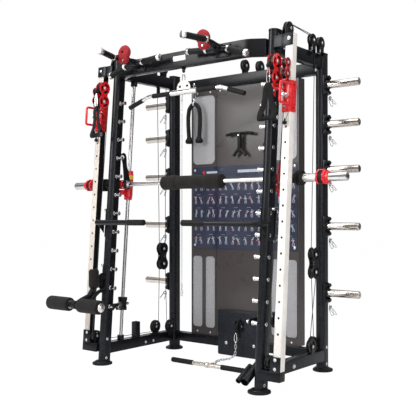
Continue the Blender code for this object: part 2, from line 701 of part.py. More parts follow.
# the snap hook's closed loop
SNAP_HOOK = [(0.714, -0.3790, 1.872), (0.7255, -0.3790, 1.850), (0.7230, -0.3790, 1.785),
             (0.712, -0.3795, 1.7690), (0.7035, -0.3790, 1.785), (0.7025, -0.3790, 1.850)]
STRAP_TOP = (0.712, -0.3800, 1.772)
FLOAT_X, FLOAT_Y = 0.653, 0.242
FLOAT_WHEELS_Z = (0.657, 0.770)


def trolleys():
    """Sleeves on the column rails; they carry a swivel pin and, behind, two wheels."""
    x0, x1 = (COLUMN_X + side * (COLUMN_HALF + TROLLEY_PLAY) for side in (-1, 1))
    v0, v1 = (COLUMN_V + side * (COLUMN_HALF + TROLLEY_PLAY) for side in (-1, 1))
    solids = [box(x0 - TROLLEY_WALL, x1 + TROLLEY_WALL, v0 - TROLLEY_WALL, v1 + TROLLEY_WALL,
                  TROLLEY_Z0, TROLLEY_Z1),
              tube([(0.800, v, z) for v, z in TROLLEY_HANDLE], 0.008, 8),
              rod_y(COLUMN_X - 0.003, -0.0405, -0.0580, PIN_Z, 0.012, 12),
              box(0.6960, 0.7720, -0.0960, -0.0402, 1.7470, 1.7590),
              rod_z(SWIVEL_X, SWIVEL_V, 1.7560, 1.7760, SWIVEL_PIN_R, 12)]
    plate = figure_eight(TROLLEY_WHEELS_V, *TROLLEY_WHEELS_Z, 0.036, 0.020, 5)
    for plate_x0, plate_x1 in ((0.7235, 0.7265), (0.7505, 0.7550)):
        solids.append(prism(plate, "x", plate_x0, plate_x1))
    solids.append(box(0.7505, 0.7550, -0.004, 0.015, 1.7750, 1.8400))
    for z in TROLLEY_WHEELS_Z:
        solids.append(wheel((0.7385, TROLLEY_WHEELS_V, z), 0.0130, 0.0285))
    cuts = [box(x0, x1, v0, v1, TROLLEY_Z0 - 0.02, TROLLEY_Z1 + 0.02),
            rod_y(COLUMN_X, -0.0300, -0.0700, PIN_Z, bored(PIN_R, 12), 12)]
    pair("trolley", "red", [leaned(s) for s in solids], [leaned(c) for c in cuts],
         origin=(COLUMN_X, front_y(PIN_Z) + COLUMN_V, PIN_Z))


def pop_pins():
    tip_v = -0.0386
    knob = [(0, 0.008), (0.004, 0.0125), (0.014, 0.0125), (0.018, 0.009)]
    solids = [rod_y(COLUMN_X, tip_v, -0.0740, PIN_Z, PIN_R, 12),
              lathe(knob, (COLUMN_X, -0.0725, PIN_Z), FORWARD, 12)]
    pair("pop_pin", "chrome", [leaned(s) for s in solids],
         origin=(COLUMN_X, front_y(PIN_Z) + tip_v, PIN_Z))


def swivel_blocks():
    """Cheeks with a fixed lower wheel, turning on the trolley's swivel pin."""
    plate = figure_eight(SWIVEL_V, BLOCK_Z0, BLOCK_Z1, 0.044, 0.024, 6)
    solids = cheeks(plate, SWIVEL_X, 0.0190, 0.0220) + [
        rod_x(SWIVEL_X - 0.0215, SWIVEL_X + 0.0215, SWIVEL_V, BLOCK_Z1, BLOCK_AXLE_R, 8),
        wheel((SWIVEL_X, SWIVEL_V, BLOCK_Z0), 0.0200, 0.033),
        box(SWIVEL_X - 0.020, SWIVEL_X + 0.020, SWIVEL_V - 0.014, SWIVEL_V + 0.014,
            1.7790, 1.7830),
        rod_z(SWIVEL_X, SWIVEL_V, 1.7596, 1.7820, 0.0140, 12)]
    bore = rod_z(SWIVEL_X, SWIVEL_V, 1.7550, 1.7770, bored(SWIVEL_PIN_R, 12), 12)
    pair("swivel_block", "red", [leaned(s) for s in solids], [leaned(bore)],
         origin=(SWIVEL_X, front_y(SWIVEL_Z) + SWIVEL_V, SWIVEL_Z))


def block_pulleys():
    centre = (SWIVEL_X, front_y(BLOCK_Z1) + SWIVEL_V, BLOCK_Z1)
    pair("block_pulley", "nylon", [sheave(centre, 0.0165, 0.038, BLOCK_AXLE_R)], origin=centre)


def cable_handles():
    """Ball stop, snap hook, two straps and a grip."""
    def level_quad(centre, half_x, half_y):
        x, y, z = centre
        return [(a, b, z) for a, b in rectangle(x - half_x, x + half_x, y - half_y, y + half_y)]

    outer, inner = Vector((0.7720, -0.3715, 1.5785)), Vector((0.6480, -0.3905, 1.5785))
    inset = (inner - outer).normalized() * 0.010
    solids = [lathe(both_ways([(0.005, 0.0135), (0.012, 0.008)]), BALL_STOP, Z_AXIS, 12),
              tube(SNAP_HOOK, 0.0042, 6, looped=True), rod(outer, inner, 0.0145, 12)]
    for end in (outer + inset, inner - inset):
        solids.append(skin([level_quad(STRAP_TOP, 0.004, 0.006),
                            level_quad(end, 0.0035, 0.012)]))
    pair("cable_handle", "nylon", solids, origin=BALL_STOP)


def floating_blocks():
    """Two wheels one above the other between cheeks, clear of the frame."""
    plate = figure_eight(FLOAT_Y, *FLOAT_WHEELS_Z, 0.045, 0.026, 6)
    solids = cheeks(plate, FLOAT_X, 0.0155, 0.0190)
    solids += [wheel((FLOAT_X, FLOAT_Y, z), 0.0170, 0.036) for z in FLOAT_WHEELS_Z]
    solids.append(box(FLOAT_X - 0.016, FLOAT_X + 0.016, FLOAT_Y - 0.008, FLOAT_Y + 0.008,
                      0.7090, 0.7180))
    pair("floating_block", "nylon", solids, origin=(FLOAT_X, FLOAT_Y, sum(FLOAT_WHEELS_Z) / 2))


# ---------------------------------------------------------------- clasped on the front uprights
CLASP_HALF = FRONT_HALF + 0.0005
CLASP_T = 0.0045
DIP_Z = 0.972
LEG_Z0, LEG_Z1 = 0.486, 0.682
ROLLER_Y, ROLLER_Z = -0.627, 0.430
ROLLER_AXLE_R = 0.0125


def clasp(z0, z1, stud_z):
    """A bracket round an upright's front, outer and back faces, with a stud outside."""
    near, far = CLASP_HALF, CLASP_HALF + CLASP_T
    side_end = UPRIGHT_X + near + 0.004
    plates = [box(0.620, side_end, -far, -near, z0, z1),
              box(UPRIGHT_X + near, UPRIGHT_X + far, -far, far, z0, z1),
              box(0.636, side_end, near, far, z0, z1)]
    return [leaned(p) for p in plates] + [rod_x(0.6935, 0.720, front_y(stud_z), stud_z, 0.009, 10)]


def dip_handles():
    start = (0.6780, front_y(DIP_Z) - CLASP_HALF - 0.002, DIP_Z)
    path = [start, (0.6800, -0.385, DIP_Z), (0.668, -0.412, DIP_Z), (0.640, -0.424, DIP_Z),
            (0.158, -0.487, 0.975)]
    pair("dip_handle", "black", clasp(0.873, 1.067, 1.03) + [tube(path, 0.019, 12)],
         origin=(UPRIGHT_X, front_y(DIP_Z), DIP_Z))


def leg_roller_arm():
    """On the -X upright only; drawn at +X and mirrored."""
    path = [(front_y(0.590) - CLASP_HALF - 0.002, 0.592), (-0.475, 0.592), (-0.545, 0.575),
            (-0.600, 0.525), (ROLLER_Y, ROLLER_Z)]
    solids = clasp(LEG_Z0, LEG_Z1, 0.64) + [
        tube([(UPRIGHT_X, y, z) for y, z in path], 0.021, 10),
        rod_x(0.395, 0.905, ROLLER_Y, ROLLER_Z, ROLLER_AXLE_R, 12),
        rod_x(0.398, 0.388, ROLLER_Y, ROLLER_Z, 0.030, 14),
        rod_x(0.902, 0.912, ROLLER_Y, ROLLER_Z, 0.030, 14),
        rod_z(UPRIGHT_X, -0.458, 0.531, 0.651, 0.036, 14)]
    z = (LEG_Z0 + LEG_Z1) / 2
    build("leg_roller_arm", "black", [mirrored(s) for s in solids],
          origin=(-UPRIGHT_X, front_y(z), z))


def leg_roller(name, x0, x1):
    centre = ((x0 + x1) / 2, ROLLER_Y, ROLLER_Z)
    half = (x1 - x0) / 2
    profile = both_ways([(half - 0.008, 0.0475), (half, 0.040)])
    build(name, "foam", [lathe(profile, centre, X_AXIS, bore=bored(ROLLER_AXLE_R, 16))],
          origin=centre)


# ---------------------------------------------------------------- landmine holder, +X side
def landmine_holder():
    """A sloping socket on the pivot pin, with a thinner rod beside it on its inner side."""
    x, y, z = LANDMINE
    rod_at = 0.5360
    pivot, tip = Vector(LANDMINE), Vector((x, -0.431, 0.060))
    along = (tip - pivot).normalized()
    solids = [rod(pivot - along * 0.018, tip, 0.0265, 16),
              rod(Vector((rod_at, y, z)) + along * 0.045, (rod_at, -0.4315, 0.0595), 0.012, 10),
              rod_x(rod_at, x, -0.400, 0.0760, 0.009, 8),
              rod_x(rod_at, x, -0.340, 0.1076, 0.009, 8)]
    cuts = [rod_x(0.50, 0.62, y, z, bored(LANDMINE_PIN_R, 12), 12),
            rod(tip + along * 0.01, tip - along * 0.10, 0.0235, 14)]
    build("landmine_holder", "black", solids, cuts, origin=LANDMINE)


# ---------------------------------------------------------------- cable attachments
ROPE_Y = 0.322
# (x from the rope's middle, z)
ROPE_PATH = [(-0.050, 1.600), (-0.052, 1.760), (-0.044, 1.815), (-0.022, 1.845), (0, 1.852),
             (0.022, 1.845), (0.044, 1.815), (0.052, 1.760), (0.050, 1.600)]
ROW_Y, ROW_Z = -0.040, 0.0215


def lat_bar():
    """Bent bar, hanging plate with two holes, and a link through the beam's eye."""
    plate = both_ways([(0.055, 1.820), (0.055, 1.856), (0.030, 1.884)])
    link = link_outline([(0.0, 1.8700), (0.013, 1.884), (0.012, 1.924), (0.0, 1.9335)])
    bar = both_ways([(0.300, 1.816), (0.481, 1.757)])
    solids = [tube([(x, LAT_Y, z) for x, z in bar], 0.0140, 12),
              prism(plate, "y", LAT_Y - 0.004, LAT_Y + 0.004),
              tube([(x, LAT_Y, z) for x, z in link], 0.0035, 6, looped=True)]
    cuts = [rod_y(x, LAT_Y - 0.01, LAT_Y + 0.01, 1.853, 0.009, 10) for x in (-0.030, 0.030)]
    build("lat_bar", "chrome", solids, cuts, origin=(0, LAT_Y, 1.816))


def tricep_rope():
    """A doubled rope with knobs at its ends, hung by a link from the top beam's peg."""
    knob = [(0, 0.018), (0.010, 0.024), (0.028, 0.024), (0.036, 0.016)]
    link = link_outline([(0, 1.853), (0.013, 1.870), (0.012, 1.990), (0, 2.004)])
    solids = [tube([(ROPE_X + x, ROPE_Y, z) for x, z in ROPE_PATH], 0.0125, 10)]
    solids += [lathe(knob, (ROPE_X + x, ROPE_Y, 1.566), Z_AXIS, 12) for x in (-0.050, 0.050)]
    solids.append(tube([(ROPE_X + x, ROPE_Y, z) for x, z in link], 0.0035, 6, looped=True))
    build("tricep_rope", "rubber", solids, origin=(ROPE_X, ROPE_Y, 1.990))


def row_bar():
    """A straight bar on the floor, with a link and the cable that rises behind it."""
    link = link_outline([(0, 0.005), (0.014, 0.030), (0.012, 0.075), (0.0, 0.092)])
    cable = [(0.0, ROW_Y + 0.090, ROW_Z), (0.004, 0.200, 0.020), (0.002, 0.2800, 0.060),
             (0.0, 0.2860, 0.150)]
    solids = [rod_x(-0.307, 0.307, ROW_Y, ROW_Z, 0.0140, 12),
              rod_x(-0.307, -0.120, ROW_Y, ROW_Z, 0.0170, 12),
              rod_x(0.307, 0.120, ROW_Y, ROW_Z, 0.0170, 12),
              tube([(x, ROW_Y + back, ROW_Z) for x, back in link], 0.0045, 6, looped=True),
              tube(cable, 0.0055, 6)]
    build("row_bar", "chrome", solids, origin=(0, ROW_Y, ROW_Z))


def row_handle():
    """Hung on the centre panel's peg."""
    crossbar = both_ways([(0.060, 1.618), (0.115, 1.608), (0.115, 1.592), (0.060, 1.600)])
    solids = [box(-0.012, 0.012, 0.3240, 0.3480, 1.478, 1.612),
              prism(crossbar, "y", 0.3270, 0.3450),
              tube([(-0.048, 0.336, 1.452), (0.0, 0.336, 1.500), (0.048, 0.336, 1.452)], 0.012, 8)]
    build("row_handle", "black", solids, [rod_y(0, 0.300, 0.360, HANDLE_PEG_Z, 0.0068, 10)],
          origin=(0, 0.336, HANDLE_PEG_Z))


# ---------------------------------------------------------------- the whole machine
CENTRING_Y = 0.13178       # brings the middle of the overall bounding box to y = 0

for old in list(bpy.data.objects):
    bpy.data.objects.remove(old, do_unlink=True)

for make_piece in (
        front_uprights, top_pulleys, rear_uprights, side_base_rails, side_top_rails,
        guide_rods, rear_base_beam, rear_top_beam, pull_up_beam, grip_clusters,
        climbing_holds, column_rails, weight_covers, centre_panel, exercise_chart,
        weight_stacks, foot_plate, bearing_carriages, smith_bar, latches, bar_pad,
        bar_collars, safety_stops, trolleys, pop_pins, swivel_blocks, block_pulleys,
        cable_handles, floating_blocks, dip_handles, leg_roller_arm):
    make_piece()
leg_roller("leg_roller_inner", -0.602, -0.402)
leg_roller("leg_roller_outer", -0.898, -0.690)
for make_piece in (landmine_holder, lat_bar, tricep_rope, row_bar, row_handle):
    make_piece()

for ob in list(bpy.context.scene.objects):
    ob.location.y += CENTRING_Y
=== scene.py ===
# Home-gym smith machine: a cage with a guided bar, two cable columns and hung accessories.
# It stands on z = 0, centred on x = 0, and faces -y. Pieces named "r" lie at +x, "l" at -x.
# Shapes are drawn in the design's own numbers, a sided piece always on the +x side;
# make() mirrors the left one and moves every mesh back by ORIGIN_Y.
# The front uprights lean back: inside lean(), y is the depth behind the line front_y(z).
import bpy
import bmesh
import random
from math import sin, cos, pi, radians, hypot, atan2
from mathutils import Vector, Matrix, noise


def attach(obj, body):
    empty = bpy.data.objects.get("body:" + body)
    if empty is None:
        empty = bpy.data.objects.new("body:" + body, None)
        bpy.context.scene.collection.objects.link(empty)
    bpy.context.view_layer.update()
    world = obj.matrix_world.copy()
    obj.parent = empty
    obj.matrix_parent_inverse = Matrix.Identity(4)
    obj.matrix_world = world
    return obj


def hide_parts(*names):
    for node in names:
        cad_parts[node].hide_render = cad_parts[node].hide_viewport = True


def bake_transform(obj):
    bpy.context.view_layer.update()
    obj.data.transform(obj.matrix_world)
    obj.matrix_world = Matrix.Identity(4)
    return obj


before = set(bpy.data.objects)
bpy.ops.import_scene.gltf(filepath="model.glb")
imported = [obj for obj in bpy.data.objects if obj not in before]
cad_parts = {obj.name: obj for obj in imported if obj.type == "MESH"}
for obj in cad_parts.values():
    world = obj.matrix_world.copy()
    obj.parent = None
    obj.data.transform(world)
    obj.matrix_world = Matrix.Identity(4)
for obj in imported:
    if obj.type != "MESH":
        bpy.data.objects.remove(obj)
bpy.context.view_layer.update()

X, Y, Z = Vector((1, 0, 0)), Vector((0, 1, 0)), Vector((0, 0, 1))

# ================================================================ driving dimensions, metres
ORIGIN_Y = 0.13178
FRONT_Y0, LEAN = -0.378, 0.07432
UPRIGHT_X = 0.649
PEG_Z0, PEG_PITCH, PEGS, PEG_DEPTH = 0.392, 0.1285, 12, 0.010
RAIL_X, RAIL_DEPTH = 0.783, -0.013
HOLE_Z0, HOLE_PITCH, HOLES = 0.350, 0.0909, 18
PIN_Z = HOLE_Z0 + HOLE_PITCH * 15
ROD_DEPTH, ROD_RADIUS = 0.163, 0.0125
BAR_Y, BAR_Z = -0.196, 1.239
REAR_POST_X = 0.641
HORN_Y, HORN_HEIGHTS = 0.360, (1.875, 1.616, 1.318, 0.950, 0.515)
STACK_X, STACK_Y, STACK_ROD_GAP = 0.350, 0.400, 0.06
COVER_Y = 0.366
CABLE_RADIUS = 0.0024


def front_y(z):
    return FRONT_Y0 + LEAN * z


# Cable wheels: (x, y, z) of the axle, or the parts of it that several wheels share
TOP_WHEEL = (0.720, -0.170, 2.133)
LOW_WHEEL = (0.7185, front_y(0.187) - 0.010, 0.187)
TOP_RAIL_WHEEL_X, TOP_RAIL_WHEEL_YS, TOP_RAIL_WHEEL_Z = 0.680, (0.177, 0.282), 2.136
BASE_WHEEL_Z = 0.189
SWIVEL_X, SWIVEL_DEPTH, SWIVEL_ZS = 0.714, -0.079, (1.815, 1.910)
TROLLEY_WHEEL_X, TROLLEY_WHEEL_DEPTH, TROLLEY_WHEEL_ZS = 0.786, -0.0665, (1.835, 1.900)
FLOAT_X, FLOAT_Y, FLOAT_ZS = 0.653, 0.242, (0.657, 0.770)


def base_wheels(side):
    """(x, y) of the two wheels on a base rail; the rear one differs left and right."""
    return (0.668, 0.180), ((0.600, 0.270) if side == "l" else (0.6235, 0.274))


# piece: (body it rides on, material slot); {} stands for the side
PIECES = {
    "bar_pad": ("bar", "foam"),
    "leg_roller_inner": ("leg_inner", "foam"),
    "leg_roller_outer": ("leg_outer", "foam"),
    "leg_roller_arm": ("leg_arm", "black"),
    "front_upright": ("base", "black"),
    "top_pulley": ("top_wheel_{}", "nylon"),
    "rear_upright": ("base", "black"),
    "side_base_rail": ("base", "black"),
    "side_top_rail": ("base", "black"),
    "guide_rod": ("base", "chrome"),
    "column_rail": ("base", "cream"),
    "grip_cluster": ("base", "black"),
    "climbing_hold": ("base", "hold"),
    "weight_cover": ("base", "smoke"),
    "weight_stack": ("stack_{}", "iron"),
    "bearing_carriage": ("carriages", "red"),
    "latch": ("bar", "black"),
    "bar_collar": ("collar_{}", "red"),
    "safety_stop": ("stop_{}", "black"),
    "trolley": ("trolley_{}", "red"),
    "pop_pin": ("pin_{}", "chrome"),
    "swivel_block": ("block_{}", "red"),
    "block_pulley": ("block_wheel_{}", "nylon"),
    "cable_handle": ("handle_{}", "nylon"),
    "floating_block": ("float_{}", "nylon"),
    "dip_handle": ("dip_{}", "black"),
    "landmine_holder": ("landmine", "black"),
    "smith_bar": ("bar", "chrome"),
    "rear_base_beam": ("base", "black"),
    "rear_top_beam": ("base", "black"),
    "pull_up_beam": ("base", "black"),
    "centre_panel": ("base", "smoke"),
    "exercise_chart": ("base", "chart"),
    "foot_plate": ("base", "tread"),
    "lat_bar": ("lat_bar", "chrome"),
    "tricep_rope": ("rope", "rubber"),
    "row_bar": ("row_bar", "chrome"),
    "row_handle": ("row_handle", "black"),
}


# ================================================================ mesh kit
# A shape is (vertices, faces) of one closed shell; n is always a count of sides.
def caps(rings, n):
    return [tuple(range(n)), tuple(range(rings * n - 1, (rings - 1) * n - 1, -1))]


def skin(rings, n, closed=False):
    """Faces over rings of n points, joined into a loop or capped at both ends."""
    faces = []
    for i in range(rings if closed else rings - 1):
        j = (i + 1) % rings
        faces += [(i * n + k, i * n + (k + 1) % n, j * n + (k + 1) % n, j * n + k)
                  for k in range(n)]
    return faces if closed else faces + caps(rings, n)


def box(x0, x1, y0, y1, z0, z1):
    verts = [(x, y, z) for z in (z0, z1) for y in (y0, y1) for x in (x0, x1)]
    return verts, [(0, 2, 3, 1), (4, 5, 7, 6), (0, 1, 5, 4),
                   (2, 6, 7, 3), (0, 4, 6, 2), (1, 3, 7, 5)]


def loft(first, second):
    n = len(first)
    sides = [(i, (i + 1) % n, n + (i + 1) % n, n + i) for i in range(n)]
    return list(first) + list(second), caps(2, n) + sides


def prism(outline, axis, start, end):
    """The outline's two numbers are the coordinates other than the axis, in x, y, z order."""
    spot = "xyz".index(axis)
    return loft(*([(*p[:spot], at, *p[spot:]) for p in outline] for at in (start, end)))


def axes_of(direction):
    along = Vector(direction).normalized()
    across = along.cross(Z if abs(along.z) < 0.9 else X).normalized()
    return along, across, along.cross(across)


def revolve(profile, base, axis, n, closed):
    base = Vector(base)
    along, across, up = axes_of(axis)
    count = len(profile)
    verts, faces = [], []
    for t, r in profile:
        for i in range(n):
            a = 2 * pi * (i + 0.5) / n
            verts.append(tuple(base + along * t + across * (r * cos(a)) + up * (r * sin(a))))
    for k in range(count if closed else count - 1):
        a, b = k * n, ((k + 1) % count) * n
        faces += [(a + i, b + i, b + (i + 1) % n, a + (i + 1) % n) for i in range(n)]
    return verts, faces if closed else faces + caps(count, n)


def turned(profile, base, axis, n=32):
    """Solid of revolution; profile: (distance along the axis, radius)."""
    return revolve(profile, base, axis, n, False)


def ring(profile, base, axis, n=32):
    """Like turned, but the profile is a closed loop round an open bore."""
    return revolve(profile, base, axis, n, True)


def rod(base, axis, radius, length, n):
    return turned([(0, radius), (length, radius)], base, axis, n)


def cylinder(start, end, radius, n=28, edge=0.0008):
    """Rod between two points, with chamfered ends."""
    start, end = Vector(start), Vector(end)
    h = (end - start).length
    e = min(edge, radius * 0.3, h * 0.3)
    return turned([(0, radius - e), (e, radius), (h - e, radius), (h, radius - e)],
                  start, end - start, n)


def bent(points, bend, steps=6, closed=False):
    """Round the corners of a polyline."""
    points = [Vector(p) for p in points]
    count = len(points)
    path = []
    for i, p in enumerate(points):
        if not closed and i in (0, count - 1):
            path.append(p)
            continue
        back, ahead = points[i - 1] - p, points[(i + 1) % count] - p
        back_length, ahead_length = back.length, ahead.length
        back.normalize()
        ahead.normalize()
        angle = back.angle(ahead)
        if angle > radians(176):
            path.append(p)
            continue
        reach = min(bend / max(1e-6, (sin(angle / 2) / cos(angle / 2))),
                    back_length * 0.49, ahead_length * 0.49)
        for k in range(steps + 1):
            s = k / steps
            path.append((p + back * reach) * (1 - s) ** 2 + p * (2 * s * (1 - s))
                        + (p + ahead * reach) * s ** 2)
    return path


def bent_outline(points, bend, steps=4):
    return [(p.y, p.z) for p in bent([(0, a, b) for a, b in points], bend, steps, closed=True)]


def tube(path, radius, n=16, closed=False):
    """Round bar along a path."""
    path = [Vector(p) for p in path]
    count = len(path)
    tangents = []
    for i in range(count):
        if closed:
            t = path[(i + 1) % count] - path[i - 1]
        elif i == 0:
            t = path[1] - path[0]
        elif i == count - 1:
            t = path[-1] - path[-2]
        else:
            t = (path[i + 1] - path[i]).normalized() + (path[i] - path[i - 1]).normalized()
        tangents.append(t.normalized())
    sides = [axes_of(tangents[0])[1]]
    for t in tangents[1:]:
        sides.append((sides[-1] - t * sides[-1].dot(t)).normalized())
    twist = 0.0
    if closed:
        # the carried frame must meet itself where the loop closes
        first = tangents[0]
        q = (sides[-1] - first * sides[-1].dot(first)).normalized()
        twist = atan2(q.cross(sides[0]).dot(first), q.dot(sides[0]))
    verts = []
    for i in range(count):
        side, up = sides[i], tangents[i].cross(sides[i])
        for k in range(n):
            a = 2 * pi * k / n + twist * i / count
            verts.append(tuple(path[i] + side * (radius * cos(a)) + up * (radius * sin(a))))
    return verts, skin(count, n, closed)


def bent_tube(points, bend, steps, radius, n=16):
    return tube(bent(points, bend, steps), radius, n)


def band(path, side, width, thick):
    """Flat strap along a path; side is the direction of its width."""
    path = [Vector(p) for p in path]
    count = len(path)
    side = Vector(side).normalized()
    verts = []
    for i in range(count):
        t = (path[min(i + 1, count - 1)] - path[max(i - 1, 0)]).normalized()
        across = (side - t * side.dot(t)).normalized()
        up = t.cross(across)
        for a, b in ((-1, -0.55), (-0.94, -1), (0.94, -1), (1, -0.55),
                     (1, 0.55), (0.94, 1), (-0.94, 1), (-1, 0.55)):
            verts.append(tuple(path[i] + across * (a * width / 2) + up * (b * thick / 2)))
    return verts, skin(count, 8)


def ball(centre, r, n=20, stretch=1.0):
    profile = [(-r * stretch * cos(pi * k / 12), max(r * sin(pi * k / 12), 1e-4))
               for k in range(1, 12)]
    return turned(profile, centre, Z, n)


def torus(centre, axis, radius, wire, n=28, wire_n=10):
    centre = Vector(centre)
    _, across, up = axes_of(axis)
    path = [centre + across * (radius * cos(2 * pi * i / n)) + up * (radius * sin(2 * pi * i / n))
            for i in range(n)]
    return tube(path, wire, wire_n, closed=True)


# ---------------------------------------------------------------- outlines
def rounded(cx, cy, half_x, half_y, r, steps=5):
    points = []
    for sx, sy, start in ((1, 1, 0), (-1, 1, 90), (-1, -1, 180), (1, -1, 270)):
        for i in range(steps + 1):
            t = radians(start + 90 * i / steps)
            points.append((cx + sx * (half_x - r) + r * cos(t), cy + sy * (half_y - r) + r * sin(t)))
    return points


def circle(cx, cy, r, n=24):
    return [(cx + r * cos(2 * pi * i / n), cy + r * sin(2 * pi * i / n)) for i in range(n)]


def obround(cx, cy, half_x, half_y):
    return rounded(cx, cy, half_x, half_y, min(half_x, half_y) * 0.999, 8)


def arc_strip(cx, cy, r_back, r_out, start, end, n=9):
    """Strip between two arcs: out along r_out, back along r_back."""
    start, end = radians(start), radians(end)
    points = []
    for r, a, b in ((r_out, start, end), (r_back, end, start)):
        points += [(cx + r * cos(a + (b - a) * i / n), cy + r * sin(a + (b - a) * i / n))
                   for i in range(n + 1)]
    return points


def cheek(y, z, half, shoulder_y, shoulder_z, crown, bottom):
    """(y, z) outline of a wheel bracket with a sloped top; y, z is its axle."""
    return [(y - half, bottom), (y + half, bottom), (y + half, z),
            (y + shoulder_y, z + shoulder_z), (y, z + crown),
            (y - shoulder_y, z + shoulder_z), (y - half, z)]


# ---------------------------------------------------------------- changes to shapes
def lean(shape):
    verts, faces = shape
    return [(x, y + front_y(z), z) for x, y, z in verts], faces


def lean_all(shapes):
    return [lean(s) for s in shapes]


def flipped(shape):
    verts, faces = shape
    return [(-x, y, z) for x, y, z in verts], [tuple(reversed(f)) for f in faces]


def moved(shape, by):
    verts, faces = shape
    return [(x + by[0], y + by[1], z + by[2]) for x, y, z in verts], faces


def spun(shape, angle, centre, axis="X"):
    to, back = Matrix.Translation(Vector(centre)), Matrix.Translation(-Vector(centre))
    m = to @ Matrix.Rotation(angle, 4, axis) @ back
    verts, faces = shape
    return [tuple(m @ Vector(p)) for p in verts], faces


def join(shapes):
    verts, faces = [], []
    for s in shapes:
        first = len(verts)
        verts += [tuple(p) for p in s[0]]
        faces += [tuple(i + first for i in f) for f in s[1]]
    return verts, faces


def bm_of(shape):
    bm = bmesh.new()
    verts = [bm.verts.new(p) for p in shape[0]]
    for f in shape[1]:
        # bmesh refuses a face that exists already or repeats a vertex
        try:
            bm.faces.new([verts[i] for i in f])
        except ValueError:
            pass
    bmesh.ops.recalc_face_normals(bm, faces=bm.faces)
    return bm


def temp_object(name, shape):
    me = bpy.data.meshes.new(name)
    bm = bm_of(shape)
    bm.to_mesh(me)
    bm.free()
    ob = bpy.data.objects.new(name, me)
    bpy.context.scene.collection.objects.link(ob)
    return ob


def evaluated(ob):
    dg = bpy.context.evaluated_depsgraph_get()
    return bpy.data.meshes.new_from_object(ob.evaluated_get(dg))


def mesh_shape(me):
    return [tuple(v.co) for v in me.vertices], [tuple(p.vertices) for p in me.polygons]


def soft(shape, width=0.0012, steps=2, angle=32):
    """Round every edge sharper than the angle."""
    bm = bm_of(shape)
    edges = [e for e in bm.edges if e.is_manifold and e.calc_face_angle(0) > radians(angle)]
    if edges:
        bmesh.ops.bevel(bm, geom=edges, offset=width, offset_type="OFFSET", segments=steps,
                        profile=0.5, affect="EDGES", clamp_overlap=True)
    bm.verts.ensure_lookup_table()
    bm.verts.index_update()
    verts = [tuple(p.co) for p in bm.verts]
    faces = [tuple(v.index for v in f.verts) for f in bm.faces]
    bm.free()
    return verts, faces


def soft_box(x0, x1, y0, y1, z0, z1, width=0.0012, steps=2):
    return soft(box(x0, x1, y0, y1, z0, z1), width, steps)


def soft_prism(outline, axis, start, end, width=0.0008, steps=2, angle=50):
    return soft(prism(outline, axis, start, end), width, steps, angle)


def cut(shape, cutters):
    """Real openings, by an exact Boolean."""
    a, b = temp_object("tmp", shape), temp_object("tmp", join(cutters))
    md = a.modifiers.new("cut", "BOOLEAN")
    md.operation, md.solver, md.object = "DIFFERENCE", "EXACT", b
    me = evaluated(a)
    result = mesh_shape(me)
    bpy.data.objects.remove(a, do_unlink=True)
    bpy.data.objects.remove(b, do_unlink=True)
    bpy.data.meshes.remove(me)
    return result


DRAWN = set()


def make(piece, part, shapes, material, side="", flip=None, smooth=36,
         replaces=True, ride=True):
    """One object "piece_side.part". The first mesh of a piece replaces its CAD piece."""
    cad_name = piece + "_" + side if side else piece
    name = cad_name + "." + part
    if side == "l" if flip is None else flip:
        shapes = [flipped(s) for s in shapes]
    bm = bm_of(join(shapes))
    bmesh.ops.dissolve_degenerate(bm, edges=bm.edges, dist=1e-7)
    for f in bm.faces:
        f.smooth = True
    for e in bm.edges:
        if not e.is_manifold or e.calc_face_angle(0) > radians(smooth):
            e.smooth = False
    bmesh.ops.translate(bm, verts=bm.verts, vec=(0, ORIGIN_Y, 0))
    me = bpy.data.meshes.new(name)
    bm.to_mesh(me)
    bm.free()
    me.materials.append(material)
    ob = bpy.data.objects.new(name, me)
    bpy.context.scene.collection.objects.link(ob)
    body, own_slot = PIECES[piece]
    if ride:
        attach(ob, body.format(side))
    if replaces and cad_name not in DRAWN:
        DRAWN.add(cad_name)
        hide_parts(cad_name)
    return ob


# ---------------------------------------------------------------- small hardware
def hex_bolt(at, axis, r=0.0085, h=0.0062):
    return [turned([(0, r * 1.42), (0.0012, r * 1.42), (0.0017, r * 1.3)], at, axis, 22),
            turned([(0.0015, r), (h - 0.0011, r), (h, r * 0.84)], at, axis, 6)]


def button_bolt(at, axis, r=0.009, h=0.0055):
    """Domed head with a socket."""
    dome = [(0.001, r * 0.3), (0.001, r), (h * 0.5, r * 0.95), (h * 0.85, r * 0.7),
            (h, r * 0.44), (h, r * 0.36), (h * 0.35, r * 0.34), (h * 0.35, r * 0.3)]
    return [turned([(0, r * 1.25), (0.001, r * 1.25), (0.0013, r * 1.1)], at, axis, 22),
            ring(dome, at, axis, 22),
            turned([(0.0012, r * 0.33), (h * 0.4, r * 0.33)], at, axis, 12)]


def flush_bolt(at, axis, r):
    """Head let into the face: it stands 0.4 mm proud and has a socket."""
    head = [(-0.003, r * 0.45), (-0.003, r), (0.0002, r), (0.0004, r * 0.94),
            (0.0004, r * 0.52), (-0.0002, r * 0.46)]
    return [ring(head, at, axis, 24),
            turned([(-0.0035, r * 0.5), (-0.0026, r * 0.5)], at, axis, 12)]


def bolt_pair(head, x, reach, y, z, r, h):
    """Heads facing out on both ends of an x axle."""
    return head((x - reach, y, z), -X, r, h) + head((x + reach, y, z), X, r, h)


def plate_pair(outline, x, near, far, width=0.0006, steps=1, angle=50):
    return [soft_prism(outline, "x", a, b, width, steps, angle)
            for a, b in ((x - far, x - near), (x + near, x + far))]


